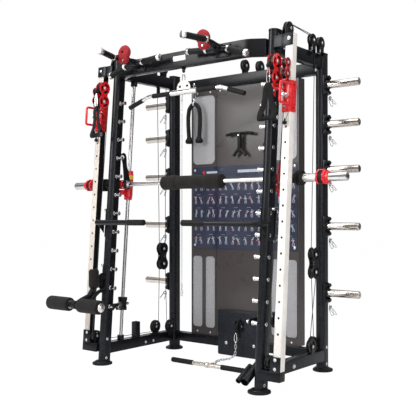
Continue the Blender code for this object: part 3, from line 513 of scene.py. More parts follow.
def pulley(centre, half, r, hub=0.011, groove=0.008, n=44, turn=0.0):
    """Cable wheel on an x axle, with five spokes."""
    x, y, z = centre
    web = half * 0.42
    rim = [(-half, r - 0.0006), (-half * 0.86, r), (-half * 0.62, r), (-half * 0.22, r - groove),
           (half * 0.22, r - groove), (half * 0.62, r), (half * 0.86, r), (half, r - 0.0006),
           (half, r * 0.735), (web, r * 0.705), (-web, r * 0.705), (-half, r * 0.735)]
    core = [(-half * 1.02, hub * 0.94), (-half * 0.94, hub), (-web, hub * 1.2),
            (web, hub * 1.2), (half * 0.94, hub), (half * 1.02, hub * 0.94)]
    shapes = [ring(rim, centre, X, n), turned(core, centre, X, 24)]
    inner, outer = r * 0.15, r * 0.20
    for k in range(5):
        a = turn + 2 * pi * k / 5
        spoke = [(y + reach * cos(a) - w * sin(a), z + reach * sin(a) + w * cos(a))
                 for reach, w in ((hub * 0.8, -inner), (r * 0.74, -outer),
                                  (r * 0.74, outer), (hub * 0.8, inner))]
        shapes.append(prism(spoke, "x", x - web, x + web))
    return shapes


def eight_outline(y, z0, z1, r, waist):
    """Figure of eight: round lobes about z0 and z1, joined by a narrow waist."""
    start = radians(42)
    lobe_y, lobe_z = r * cos(start), r * sin(start)
    low, high = z0 + lobe_z, z1 - lobe_z
    points = []
    for lobe, first, side, a, b in ((z0, pi - start, 1, low, high), (z1, -start, -1, high, low)):
        for i in range(23):
            t = first + (pi + 2 * start) * i / 22
            points.append((y + r * cos(t), lobe + r * sin(t)))
        for i in range(1, 8):
            s = i / 8
            reach = waist + (lobe_y - waist) * abs(2 * s - 1) ** 1.9
            points.append((y + side * reach, a + (b - a) * s))
    return points


def eight_plate(x0, x1, y, z0, z1, r, waist, inner=0.42, outer=0.74):
    """Figure-of-eight side plate with three windows in each lobe and two small holes between."""
    cuts = []
    for z in (z0, z1):
        for k in range(3):
            a = 15 + 120 * k
            cuts.append(prism(arc_strip(y, z, r * inner, r * outer, a, a + 250 / 3),
                              "x", x0 - 0.01, x1 + 0.01))
    for dy in (-0.011, 0.011):
        hole = circle(y + dy * (waist / 0.024), (z0 + z1) / 2, 0.0032, 12)
        cuts.append(prism(hole, "x", x0 - 0.01, x1 + 0.01))
    return cut(soft(prism(eight_outline(y, z0, z1, r, waist), "x", x0, x1), 0.0006, 1, 60), cuts)


def chain_link(centre, along, side, length, width, wire):
    """Two half circles joined by straights."""
    h = length / 2 - width / 2
    path = []
    for start, shift in ((-pi / 2, h), (pi / 2, -h)):
        for k in range(8):
            t = start + pi * k / 7
            path.append(centre + along * (shift + width / 2 * cos(t)) + side * (width / 2 * sin(t)))
    return tube(path, wire, 8, closed=True)


def segment_lengths(path):
    return [(path[i + 1] - path[i]).length for i in range(len(path) - 1)]


def locate(lengths, distance):
    """Which segment a distance along a path falls in, and how far into it."""
    i = 0
    while i < len(lengths) - 1 and distance > lengths[i]:
        distance -= lengths[i]
        i += 1
    return i, distance


def chain(path, pitch, width, wire):
    lengths = segment_lengths(path)
    count = max(2, round(sum(lengths) / pitch))
    step = sum(lengths) / count
    links = []
    for k in range(count):
        i, rest = locate(lengths, (k + 0.5) * step)
        along, across, up = axes_of(path[i + 1] - path[i])
        a = pi / 4 if k % 2 else -pi / 4
        links.append(chain_link(path[i] + along * rest, along, across * cos(a) + up * sin(a),
                                step + 2.6 * wire, width, wire))
    return links


def snap_hook(top, bottom, width, wire):
    """Pear-shaped spring hook between two points, its gate on the +x side."""
    top = Vector(top)
    along = Vector(bottom) - top
    length = along.length
    along.normalize()
    path = []
    for k in range(28):
        t = 2 * pi * k / 28
        half = 0.5 - 0.5 * cos(t)
        out = width * (0.62 + 0.38 * half) * sin(t) * (1.0 + 0.12 * sin(t) ** 2)
        path.append(top + along * (length * half) + X * out)
    gate = top + along * (length * 0.46) + X * (width * 0.80)
    return [tube(path, wire, 10, closed=True),
            cylinder(gate - along * (length * 0.15), gate + along * (length * 0.17),
                     wire * 0.78, 10),
            cylinder(gate + along * (length * 0.02), gate + along * (length * 0.12),
                     wire * 1.35, 12)]


def laid_rope(points, radius, strands, pitch, step=0.0022):
    path = bent(points, 0.03, 8)
    strand = radius * 0.60
    lengths = segment_lengths(path)
    total = sum(lengths)
    count = int(total / step)
    centres = []
    for k in range(count + 1):
        i, rest = locate(lengths, total * k / count)
        centres.append(path[i].lerp(path[i + 1], min(1, rest / max(lengths[i], 1e-9))))
    side = axes_of(centres[1] - centres[0])[1]
    frames = []
    for k in range(count + 1):
        t = (centres[min(k + 1, count)] - centres[max(k - 1, 0)]).normalized()
        side = (side - t * side.dot(t)).normalized()
        frames.append((side.copy(), t.cross(side)))
    shapes = []
    for j in range(strands):
        line = []
        for k in range(count + 1):
            a = 2 * pi * (j / strands + total * k / count / pitch)
            across, up = frames[k]
            line.append(centres[k] + across * ((radius - strand) * cos(a))
                        + up * ((radius - strand) * sin(a)))
        shapes.append(tube(line, strand, 9))
    return shapes


def ribbed(start, end, r, ribs, depth, duty, collar, n):
    """Rubber grip with moulded rings; duty is where in its pitch a rib ends."""
    length = (end - start).length
    profile = [(0, r * 0.86), (0.0015, r + collar), (0.006, r + collar), (0.0075, r)]
    step = (length - 0.018) / ribs
    for k in range(ribs):
        s = 0.009 + step * k
        profile += [(s + step * 0.10, r), (s + step * duty, r),
                    (s + step * (duty + 0.1), r - depth), (s + step * 0.98, r - depth)]
    profile += [(length - 0.0075, r), (length - 0.006, r + collar),
                (length - 0.0015, r + collar), (length, r * 0.86)]
    return turned(profile, start, end - start, n)


# ================================================================ materials
class Material:
    """A Principled material and short ways to feed it; textures use object coordinates."""

    def __init__(self, name, metallic=0.0, specular=0.5):
        self.material = bpy.data.materials.new(name)
        self.material.use_nodes = True
        self.tree = self.material.node_tree
        self.shader = self.tree.nodes["Principled BSDF"]
        self.shader.inputs["Metallic"].default_value = metallic
        self.shader.inputs["Specular IOR Level"].default_value = specular
        self.place = self.node("TexCoord").outputs["Object"]

    def node(self, kind, **settings):
        n = self.tree.nodes.new("ShaderNode" + kind)
        for key, value in settings.items():
            setattr(n, key, value)
        return n

    def feed(self, source, target):
        if hasattr(source, "links"):
            self.tree.links.new(source, target)
        else:
            target.default_value = source

    def noise(self, scale, detail=2.0, rough=0.5, stretch=None):
        place = self.place
        if stretch:
            mapping = self.node("Mapping")
            self.feed(place, mapping.inputs["Vector"])
            mapping.inputs["Scale"].default_value = stretch
            place = mapping.outputs["Vector"]
        n = self.node("TexNoise")
        self.feed(place, n.inputs["Vector"])
        n.inputs["Scale"].default_value = scale
        n.inputs["Detail"].default_value = detail
        n.inputs["Roughness"].default_value = rough
        return n.outputs["Fac"]

    def voronoi(self, scale):
        n = self.node("TexVoronoi")
        self.feed(self.place, n.inputs["Vector"])
        n.inputs["Scale"].default_value = scale
        return n.outputs["Distance"]

    def wave(self, scale, direction, distortion=0.0):
        n = self.node("TexWave", bands_direction=direction)
        self.feed(self.place, n.inputs["Vector"])
        n.inputs["Scale"].default_value = scale
        n.inputs["Distortion"].default_value = distortion
        return n.outputs["Fac"]

    def span(self, field, from_min, from_max, to_min, to_max):
        n = self.node("MapRange")
        self.feed(field, n.inputs["Value"])
        for key, value in (("From Min", from_min), ("From Max", from_max),
                           ("To Min", to_min), ("To Max", to_max)):
            n.inputs[key].default_value = value
        return n.outputs["Result"]

    def vary(self, field, low=0, high=1):
        """Spread the useful middle of a noise field from low to high."""
        return self.span(field, 0.3, 0.7, low, high)

    def math(self, op, a, b):
        n = self.node("Math", operation=op)
        self.feed(a, n.inputs[0])
        self.feed(b, n.inputs[1])
        return n.outputs[0]

    def mix(self, factor, a, b):
        n = self.node("Mix", data_type="RGBA")
        self.feed(factor, n.inputs[0])
        for color, spot in ((a, 6), (b, 7)):
            self.feed(color if hasattr(color, "links") else (*color, 1.0), n.inputs[spot])
        return n.outputs[2]

    def mottle(self, dark, light, **noise_settings):
        return self.mix(self.vary(self.noise(**noise_settings)), dark, light)

    def worn(self, color, paint, amount, low=0.54, high=0.64):
        """Rubbed paint on edges more pointed than low."""
        edges = self.node("NewGeometry").outputs["Pointiness"]
        patches = self.span(self.noise(scale=55, detail=3), 0.35, 0.65, 0.1, 1.0)
        wear = self.math("MULTIPLY", self.span(edges, low, high, 0.0, 1.0), patches)
        return self.mix(self.math("MULTIPLY", wear, amount), color, paint)

    def bump(self, height, strength, distance, under=None):
        n = self.node("Bump")
        n.inputs["Strength"].default_value = strength
        n.inputs["Distance"].default_value = distance
        self.feed(height, n.inputs["Height"])
        if under is not None:
            self.feed(under, n.inputs["Normal"])
        return n.outputs["Normal"]

    def done(self, color, rough, normal, **extra):
        self.feed(color, self.shader.inputs["Base Color"])
        self.feed(rough, self.shader.inputs["Roughness"])
        self.feed(normal, self.shader.inputs["Normal"])
        for key, value in extra.items():
            self.shader.inputs[key.replace("_", " ")].default_value = value
        return self.material


def tone(color, factor):
    return tuple(min(1.0, x * factor) for x in color)


def powder_coat(name, color, rough=(0.30, 0.44), grain_scale=1500, grain=0.16, specular=0.5,
                worn=(0.10, 0.105, 0.115), wear=0.5, clear=0.0):
    """Slight mottling, orange-peel grain, paler rubbed edges."""
    m = Material(name, specular=specular)
    base = m.mottle(tone(color, 0.90), tone(color, 1.12), scale=7, detail=4)
    normal = m.bump(m.noise(scale=grain_scale, detail=3, rough=0.6), grain, distance=0.0004)
    normal = m.bump(m.noise(scale=220), 0.02, distance=0.0006, under=normal)
    return m.done(m.worn(base, worn, wear),
                  m.vary(m.noise(scale=28, detail=4, rough=0.6), *rough), normal,
                  Coat_Weight=clear, Coat_Roughness=0.18)


def metal(name, color, rough, scale, relief, stretch=(1, 1, 1)):
    """Bare metal; stretch draws the grain out, as on turned parts."""
    m = Material(name, metallic=1.0)
    base = m.mottle(tone(color, 0.9), tone(color, 1.05), scale=9, detail=3)
    grain = m.noise(scale=scale, detail=4, rough=0.65, stretch=stretch)
    return m.done(base, m.vary(grain, *rough), m.bump(grain, relief, distance=0.0002))


def grained_resin():
    m = Material("grained_red_resin", specular=0.35)
    grain = m.noise(scale=210, detail=6, rough=0.75)
    color = m.mix(m.span(grain, 0.35, 0.65, 0, 1), (0.215, 0.0045, 0.0075), (0.40, 0.0095, 0.0135))
    normal = m.bump(grain, 0.9, distance=0.0016)
    normal = m.bump(m.voronoi(scale=330), 0.35, distance=0.0007, under=normal)
    return m.done(color, m.vary(grain, 0.5, 0.8), normal)


def cell_foam():
    m = Material("cell_foam", specular=0.22)
    grain = m.noise(scale=520, detail=5, rough=0.7)
    cells = m.voronoi(scale=760)
    color = m.mottle((0.0085, 0.0073, 0.0068), (0.0145, 0.0124, 0.0114), scale=16, detail=3)
    # painted shade: the colour darkens towards the middle of each cell, where the bump sinks into a
    # pit
    color = m.mix(m.span(cells, 0.0, 0.7, 0.35, 0.0), color, (0.0045, 0.004, 0.004))
    normal = m.bump(cells, 0.30, distance=0.0006, under=m.bump(grain, 0.40, distance=0.0009))
    return m.done(color, m.vary(grain, 0.78, 0.95), normal, Sheen_Weight=0.05, Sheen_Roughness=0.6)


def rubber(name, color=(0.0052, 0.0052, 0.0055)):
    m = Material(name, specular=0.22)
    grain = m.noise(scale=700, detail=4, rough=0.6)
    return m.done(m.mottle(tone(color, 0.7), tone(color, 1.5), scale=20, detail=3),
                  m.vary(grain, 0.46, 0.66), m.bump(grain, 0.30, distance=0.0006))


def laid_cord():
    m = Material("laid_cord", specular=0.3)
    weave = m.voronoi(scale=620)
    color = m.mix(m.span(weave, 0, 0.6, 0, 1), (0.0085, 0.0085, 0.0095), (0.0030, 0.0030, 0.0035))
    fuzz = m.bump(m.noise(scale=900, detail=3, rough=0.6), 0.4, distance=0.0005)
    return m.done(color, 0.55, m.bump(weave, 0.5, distance=0.0008, under=fuzz), Sheen_Weight=0.04)


def woven_webbing():
    m = Material("woven_webbing", specular=0.25)
    weave = m.math("MULTIPLY", m.wave(520, "Z", distortion=0.4), m.wave(420, "X", distortion=0.4))
    return m.done(m.mix(weave, (0.0035, 0.0035, 0.0038), (0.0105, 0.0105, 0.0112)), 0.75,
                  m.bump(weave, 0.6, distance=0.0007), Sheen_Weight=0.04)


def moulded_nylon():
    m = Material("moulded_nylon", specular=0.30)
    color = m.mottle((0.0050, 0.0052, 0.0058), (0.0100, 0.0103, 0.0115), scale=26, detail=3)
    color = m.worn(color, (0.07, 0.07, 0.075), 0.5, low=0.55, high=0.66)
    return m.done(color, m.vary(m.noise(scale=60, detail=3), 0.28, 0.44),
                  m.bump(m.noise(scale=900), 0.10, distance=0.0004))


def coated_cable():
    m = Material("coated_cable")
    twist = m.wave(190, "DIAGONAL")
    return m.done(m.mix(twist, (0.010, 0.010, 0.011), (0.030, 0.030, 0.032)), 0.34,
                  m.bump(twist, 0.35, distance=0.0004))


def smoked_panel():
    """Slightly paler towards the top as painted light, with broad soft patches."""
    m = Material("smoked_panel")
    color = (0.047, 0.0385, 0.0372)
    split = m.node("SeparateXYZ")
    m.feed(m.place, split.inputs[0])
    # painted light: the colour grows paler with height
    height = m.span(split.outputs["Z"], 0.3, 1.95, 0.0, 1.0)
    patches = m.vary(m.noise(scale=1.6, stretch=(1, 1, 0.6)))
    shade = m.math("ADD", m.math("MULTIPLY", height, 0.35), m.math("MULTIPLY", patches, 0.65))
    base = m.mix(shade, tone(color, 0.84), tone(color, 1.18))
    speckle = m.math("MULTIPLY", m.noise(scale=1300, detail=3, rough=0.7), 0.25)
    return m.done(m.mix(speckle, base, tone(color, 1.5)),
                  m.vary(m.noise(scale=5, detail=3), 0.26, 0.38),
                  m.bump(m.noise(scale=900, detail=3, rough=0.6), 0.06, distance=0.0003),
                  Coat_Weight=0.15, Coat_Roughness=0.12)


def grille_metal(name, color):
    m = Material(name, metallic=0.25)
    return m.done(m.mottle(tone(color, 0.86), tone(color, 1.12), scale=120, detail=4),
                  m.vary(m.noise(scale=60), 0.35, 0.5),
                  m.bump(m.noise(scale=1400), 0.1, distance=0.0003))


def navy_sheet():
    """Chart sheet with a faint darker strip of painted shade over each seam between the covers and
    the panel.
    """
    m = Material("navy_sheet")
    split = m.node("SeparateXYZ")
    m.feed(m.place, split.inputs[0])
    strips = []
    for x in (-0.231, 0.231):
        away = m.math("ABSOLUTE", m.math("SUBTRACT", split.outputs["X"], x), 0.0)
        strips.append(m.span(away, 0.022 * 0.8, 0.022 * 1.1, 1.0, 0.0))
    base = m.mottle((0.023, 0.027, 0.050), (0.036, 0.042, 0.074), scale=3.2, detail=3)
    # painted shade: the strips darken the sheet over the seams
    seam = m.math("MULTIPLY", m.math("MAXIMUM", *strips), 0.75)
    return m.done(m.mix(seam, base, (0.014, 0.018, 0.042)),
                  m.vary(m.noise(scale=12, detail=3), 0.16, 0.28),
                  m.bump(m.noise(scale=700), 0.04, distance=0.0003),
                  Coat_Weight=0.3, Coat_Roughness=0.08)


def print_ink(name, color):
    m = Material(name, specular=0.4)
    return m.done(m.mottle(tone(color, 0.85), tone(color, 1.08), scale=90, detail=3),
                  m.vary(m.noise(scale=300), 0.35, 0.5),
                  m.bump(m.noise(scale=1200), 0.05, distance=0.0002))


def tread_coat():
    m = Material("tread_coat", metallic=0.1, specular=0.35)
    color = (0.0085, 0.0105, 0.0160)
    base = m.mottle(tone(color, 0.8), tone(color, 1.25), scale=12, detail=4)
    return m.done(m.worn(base, (0.05, 0.054, 0.064), 0.35, high=0.62),
                  m.vary(m.noise(scale=40, detail=3), 0.28, 0.42),
                  m.bump(m.noise(scale=900, detail=3), 0.10, distance=0.0003))


def cast_iron():
    m = Material("cast_plates", metallic=0.2, specular=0.4)
    grain = m.noise(scale=160, detail=6, rough=0.7)
    return m.done(m.mix(m.vary(grain), (0.016, 0.016, 0.017), (0.045, 0.045, 0.048)),
                  m.vary(grain, 0.5, 0.7), m.bump(grain, 0.6, distance=0.0012))


BLACK = powder_coat("satin_black", (0.0046, 0.0050, 0.0068), rough=(0.26, 0.33), grain=0.05,
                    specular=0.24, worn=(0.05, 0.055, 0.065), wear=0.4)
CASTING = powder_coat("satin_black_castings", (0.0040, 0.0042, 0.0052), rough=(0.32, 0.44),
                      grain_scale=1100, grain=0.12, specular=0.24, worn=(0.05, 0.055, 0.06),
                      wear=0.4)
RED = powder_coat("signal_red", (0.72, 0.0105, 0.017), rough=(0.22, 0.34), grain=0.10,
                  worn=(0.85, 0.10, 0.10), wear=0.35, clear=0.25)
# Painted shade: a darker copy of the signal red, for the trolley's rear plates, which sit in the
# trolley's shadow
RED_PAINTED_SHADE = powder_coat("signal_red_painted_shade", (0.46, 0.008, 0.012), rough=(0.26, 0.40), grain=0.12,
                       worn=(0.6, 0.05, 0.05), wear=0.3, clear=0.15)
# Painted shade: a darker copy of the cream, for the left column rail, where less light falls
CREAM_PAINTED_SHADE_LEFT = powder_coat("pale_cream_painted_shade_left", (0.66, 0.60, 0.535), rough=(0.26, 0.38), grain=0.06,
                         worn=(0.5, 0.48, 0.45), wear=0.15)
CREAM = powder_coat("pale_cream", (0.86, 0.825, 0.775), rough=(0.26, 0.38), grain=0.08,
                    worn=(0.5, 0.48, 0.45), wear=0.15, clear=0.1)
CHROME = metal("chrome", (0.80, 0.79, 0.78), rough=(0.08, 0.20), scale=180, relief=0.03)
TURNED = metal("chrome_turned", (0.82, 0.80, 0.775), rough=(0.10, 0.20), scale=14, relief=0.01,
               stretch=(60, 1, 1))
CHROME_ROD = metal("chrome_rod", (0.66, 0.66, 0.67), rough=(0.14, 0.24), scale=300, relief=0.004)
HORN = metal("horn_chrome", (0.76, 0.70, 0.63), rough=(0.12, 0.22), scale=12, relief=0.012,
             stretch=(90, 1, 1))
ZINC = metal("zinc_bolt", (0.74, 0.75, 0.77), rough=(0.20, 0.38), scale=420, relief=0.08)
ZINC_FRAME = metal("zinc_bolt_frame", (0.74, 0.75, 0.77), rough=(0.20, 0.38), scale=420,
                   relief=0.08)
KNURLED = metal("chrome_knurled", (0.80, 0.79, 0.775), rough=(0.14, 0.30), scale=520, relief=0.25)
CLIP_WIRE = metal("clip_wire", (0.42, 0.42, 0.43), rough=(0.22, 0.34), scale=300, relief=0.02)
DARK_STEEL = metal("dark_steel", (0.16, 0.16, 0.17), rough=(0.30, 0.5), scale=200, relief=0.1)
RESIN = grained_resin()
FOAM = cell_foam()
CORD = laid_cord()
WEBBING = woven_webbing()
NYLON = moulded_nylon()
CABLE = coated_cable()
SMOKE = smoked_panel()
CABLE_FRAME = coated_cable()
GRIP = rubber("grip_rubber")
HANDLE_RUBBER = rubber("handle_rubber", (0.0055, 0.0055, 0.0057))
BAR_GRIP = rubber("bar_grip_rubber")
FOOT_RUBBER = rubber("foot_rubber", (0.010, 0.010, 0.011))
KNOB = rubber("rope_knob_rubber", (0.007, 0.007, 0.0075))
WIRE = grille_metal("grille_wire", (0.62, 0.615, 0.625))
BACKING = grille_metal("grille_backing", (0.30, 0.295, 0.305))
LIP = powder_coat("cover_lip", (0.020, 0.0165, 0.016), rough=(0.3, 0.42))
CHART = navy_sheet()
PALE = print_ink("pale_print", (0.46, 0.50, 0.58))
DOT = print_ink("red_print", (0.55, 0.012, 0.02))
TREAD = tread_coat()
IRON = cast_iron()
DIM = print_ink("dim_print", (0.085, 0.10, 0.15))
YELLOW = powder_coat("yellow_band", (0.80, 0.56, 0.015), rough=(0.35, 0.5), worn=(0.5, 0.4, 0.1),
                     wear=0.3)
NAMEPLATE = metal("blank_nameplate", (0.30, 0.285, 0.28), rough=(0.28, 0.42), scale=20,
                  relief=0.06, stretch=(60, 1, 1))
# Painted shade: near-black fill inside holes and slots and behind openings, where only shade shows;
# also the plain dark strip on each column rail's inner face
DARK_AND_HOLE_SHADE = powder_coat("dark_strip_and_painted_hole_shade", (0.004, 0.004, 0.0045), rough=(0.6, 0.8), specular=0.2, wear=0.0)


# ================================================================ foam sleeves
PUFF_VOXEL, PUFF_PRESSURE, PUFF_FRAMES = 0.005, 4.0, 20


def puff(shape, cap):
    """Voxel remesh, pressure cloth that moves no vertex further than cap, one subdivision."""
    ob = temp_object("puff", shape)
    sc = bpy.context.scene
    md = ob.modifiers.new("r", "REMESH")
    md.mode, md.voxel_size = "VOXEL", PUFF_VOXEL
    me = evaluated(ob)
    ob.modifiers.clear()
    ob.data = me
    start = [v.co.copy() for v in me.vertices]
    cloth = ob.modifiers.new("c", "CLOTH")
    s = cloth.settings
    s.quality = 4
    s.mass = 0.4
    s.tension_stiffness = s.compression_stiffness = 40
    s.bending_stiffness = 2.0
    s.use_pressure = True
    s.uniform_pressure_force = PUFF_PRESSURE
    s.effector_weights.gravity = 0.0
    cloth.point_cache.frame_start, cloth.point_cache.frame_end = 1, PUFF_FRAMES
    for frame in range(1, PUFF_FRAMES + 1):
        sc.frame_set(frame)
    me = evaluated(ob)
    ob.modifiers.clear()
    for v, a in zip(me.vertices, start):
        d = v.co - a
        if d.length > cap:
            v.co = a + d * (cap / d.length)
    ob.data = me
    sc.frame_set(1)
    md = ob.modifiers.new("s", "SUBSURF")
    md.levels = md.render_levels = 1
    result = mesh_shape(evaluated(ob))
    bpy.data.objects.remove(ob, do_unlink=True)
    return result


def foam_sleeve(x0, x1, y, z, r, waists=()):
    """Sleeve on an x axis with rolled ends; waists: (distance from x0, radius)."""
    roll = [(0, 0.80), (0.002, 0.90), (0.006, 0.97), (0.012, 1)]
    profile = [(t, r * f) for t, f in roll] + list(waists)
    profile += [(x1 - x0 - t, r * f) for t, f in reversed(roll)]
    return turned(profile, (x0, y, z), X, 48)


# (distance from the pad's end, radius)
PAD_WAISTS = [(0.060, 0.0485), (0.070, 0.0470), (0.074, 0.0500), (0.122, 0.0500),
              (0.128, 0.0450), (0.372, 0.0450), (0.378, 0.0500), (0.426, 0.0500),
              (0.430, 0.0470), (0.440, 0.0485)]
ROLLER_Y, ROLLER_Z = -0.627, 0.430


def foams():
    waists = [(a, r - 0.0012) for a, r in PAD_WAISTS]
    pad = foam_sleeve(-0.249, 0.249, BAR_Y, BAR_Z, 0.047, waists)
    make("bar_pad", "foam", [puff(pad, 0.0022)], FOAM)
    for name, x0, x1 in (("inner", -0.602, -0.402), ("outer", -0.898, -0.690)):
        sleeve = foam_sleeve(x0 + 0.001, x1 - 0.001, ROLLER_Y, ROLLER_Z, 0.046)
        make("leg_roller_" + name, "foam", [puff(sleeve, 0.0020)], FOAM)
    sleeve = puff(spun(foam_sleeve(-0.06, 0.06, 0, 0, 0.035), radians(90), (0, 0, 0), "Y"), 0.0018)
    make("leg_roller_arm", "foam", [moved(sleeve, (-UPRIGHT_X, -0.458, 0.591))], FOAM,
         replaces=False)


# ================================================================ left and right pairs
# ---------------------------------------------------------------- uprights
def post_section(x, corner_y, round_y):
    """(x, y) outline: two small corners at the back, a half round in front."""
    section = []
    for sx, start in ((1, 0), (-1, 90)):
        for i in range(6):
            t = radians(start + 90 * i / 5)
            section.append((x + sx * 0.021 + 0.010 * cos(t), corner_y + 0.010 * sin(t)))
    for i in range(19):
        t = radians(180 + 180 * i / 18)
        section.append((x + 0.031 * cos(t), round_y + 0.031 * sin(t)))
    return section


def grown(outline, x, y, by_x, by_y):
    return [(x + (px - x) * by_x, y + (py - y) * by_y) for px, py in outline]


def rubber_foot(x, y, rim):
    # (height, how much smaller than the rim)
    profile = [(0, 0.004), (0.0015, 0.0008), (0.003, 0), (0.0105, 0), (0.0135, 0.0012),
               (0.015, 0.0045), (0.0165, 0.008), (0.0175, 0.012)]
    return turned([(h, rim - less) for h, less in profile], (x, y, 0), Z, 56)


def front_upright(side):
    section = post_section(UPRIGHT_X, corner_y=0.037, round_y=0.001)
    peg_zs = [PEG_Z0 + PEG_PITCH * i for i in range(PEGS)]
    holes = []
    for peg_z in peg_zs:
        z = peg_z + 0.0275
        for x0, x1 in ((0.610, 0.6215), (0.6765, 0.690)):
            holes.append(rod((x0, front_y(z) + 0.003, z), X, 0.0042, x1 - x0, 12))
    for z in (0.29, 0.325, 1.98):
        holes.append(rod((0.6765, front_y(z) + 0.003, z), X, 0.0042, 0.012, 12))
    post = cut(lean(prism(section, "z", 0.010, 2.118)), holes)
    cap = prism(grown(section, UPRIGHT_X, 0.0085, 1.05, 1.045), "z", 2.116, 2.130)
    weld = ring([(0, 0.036), (0, 0.0555), (0.004, 0.0535), (0.008, 0.048), (0.009, 0.036)],
                (UPRIGHT_X, FRONT_Y0 + 0.001, 0.0165), Z, 40)
    make("front_upright", "post", [post, soft(lean(cap), 0.003, 3, 60), weld], BLACK, side)
    make("front_upright", "foot", [rubber_foot(UPRIGHT_X, FRONT_Y0, 0.068)], FOOT_RUBBER, side)
    peg = [(0, 0.0135), (0.0016, 0.0142), (0.004, 0.012), (0.034, 0.0116), (0.035, 0.0135),
           (0.037, 0.0146), (0.042, 0.0146), (0.044, 0.013), (0.0445, 0.0095)]
    pegs, bolts = [], []
    for z in peg_zs:
        pegs.append(turned(peg, (0.6185, front_y(z) + PEG_DEPTH, z), -X, 28))
        bolts += flush_bolt((0.680, front_y(z), z), X, 0.0112)
    make("front_upright", "pegs", pegs, TURNED, side)
    for z in (0.045, 0.173, 2.094):
        if z < 1:
            bolts += button_bolt((0.618, front_y(z) + 0.004, z), -X, 0.0085)
        bolts += flush_bolt((0.680, front_y(z) + 0.004, z), X, 0.010)

    # arms that hold the column rail, with the brackets of the low and top wheels
    arms = lean_all([soft_box(0.672, 0.8105, -0.045, 0.0125, 0.085, 0.141, 0.0025, 3),
                     soft_box(0.676, 0.7575, -0.04, 0.0085, 2.007, 2.079, 0.0025, 3),
                     soft_box(0.742, 0.8095, -0.045, -0.0384, 0.140, 0.224, 0.0012),
                     soft_box(0.735, 0.8105, -0.045, -0.0384, 2.007, 2.079, 0.0015)])
    low = cheek(LOW_WHEEL[1], LOW_WHEEL[2], half=0.020, shoulder_y=0.014, shoulder_z=0.013,
                crown=0.0195, bottom=0.1395)
    # (distance behind the wheel's axle, z)
    high = [(-0.052, 2.030), (-0.030, 2.030), (0.026, 2.115), (0.026, 2.150), (0.008, 2.164),
            (-0.014, 2.164), (-0.034, 2.140), (-0.052, 2.080)]
    high = bent_outline([(TOP_WHEEL[1] + y, z) for y, z in high], 0.012)
    for low_x, high_x in ((0.7028, 0.7010), (0.7308, 0.7360)):
        arms.append(soft_prism(low, "x", low_x, low_x + 0.0034, 0.0006, 1))
        arms.append(soft_prism(high, "x", high_x, high_x + 0.003, 0.0005, 1, 60))
    make("front_upright", "arms", arms, BLACK, side)
    make("front_upright", "low_wheel", pulley(LOW_WHEEL, 0.0118, 0.0385, turn=0.4), NYLON, side)
    for x, z in ((0.775, 0.2085), (0.775, 0.157), (0.785, 2.048)):
        bolts += button_bolt((x, front_y(z) - 0.045, z), -Y, 0.0082, 0.005)
    for x, wheel, axis in ((0.7342, LOW_WHEEL, X), (0.7028, LOW_WHEEL, -X),
                           (0.7390, TOP_WHEEL, X), (0.7010, TOP_WHEEL, -X)):
        bolts += hex_bolt((x, *wheel[1:]), axis, 0.0068, 0.0048)
    bolts.append(cylinder((0.700, *TOP_WHEEL[1:]), (0.740, *TOP_WHEEL[1:]), 0.0058, 20))
    make("front_upright", "bolts", bolts, ZINC_FRAME, side)
    make("top_pulley", "wheel", pulley(TOP_WHEEL, 0.0124, 0.0410), NYLON, side)


def wire_loop(start, dx, dy):
    """Finger loop of a plate clip, hanging from the coil's end."""
    down = Vector((dx, dy, -1)).normalized()
    across = Vector((0.5, 1, 0)).normalized()
    path = [start]
    for i in range(15):
        drop = 0.006 + 0.050 * (1 - abs(2 * (i / 14) - 1) ** 2.4)
        path.append(start + down * drop + across * (0.013 * -cos(pi * (i / 14))))
    return tube(path, 0.0019, 8)


def plate_clip(horn_z):
    """Sprung wire plate clip, hung from the horn's bracket on a cord."""
    coil = []
    for i in range(72):
        t = 2 * pi * i / 28
        coil.append(Vector((0.716 + 0.0022 * i / 28 * 2 - 0.004, 0.345 + 0.0115 * cos(t),
                            horn_z - 0.092 + 0.0115 * sin(t))))
    cord = [(0.700, 0.345, horn_z - 0.050), (0.706, 0.344, horn_z - 0.068),
            (0.715, 0.345, horn_z - 0.0805)]
    return [tube(coil, 0.0019, 8), wire_loop(coil[0], 0.30, -0.10),
            wire_loop(coil[-1], 0.95, 0.10), bent_tube(cord, 0.02, 5, 0.0012, 8)]


# Horn parts: (distance along the axis, radius)
HORN_BASE = [(0, 0.0345), (0.015, 0.0345), (0.018, 0.0325), (0.024, 0.03)]
HORN_STUD = [(0, 0.011), (0.004, 0.011), (0.0045, 0.0095), (0.02, 0.0095), (0.021, 0.0125),
             (0.027, 0.0128), (0.03, 0.0105)]
HORN_SHAFT = [(0, 0.025), (0.2155, 0.025), (0.2185, 0.024), (0.2205, 0.0205),
              (0.2215, 0.0205), (0.2215, 0.005), (0.2195, 0.0045)]


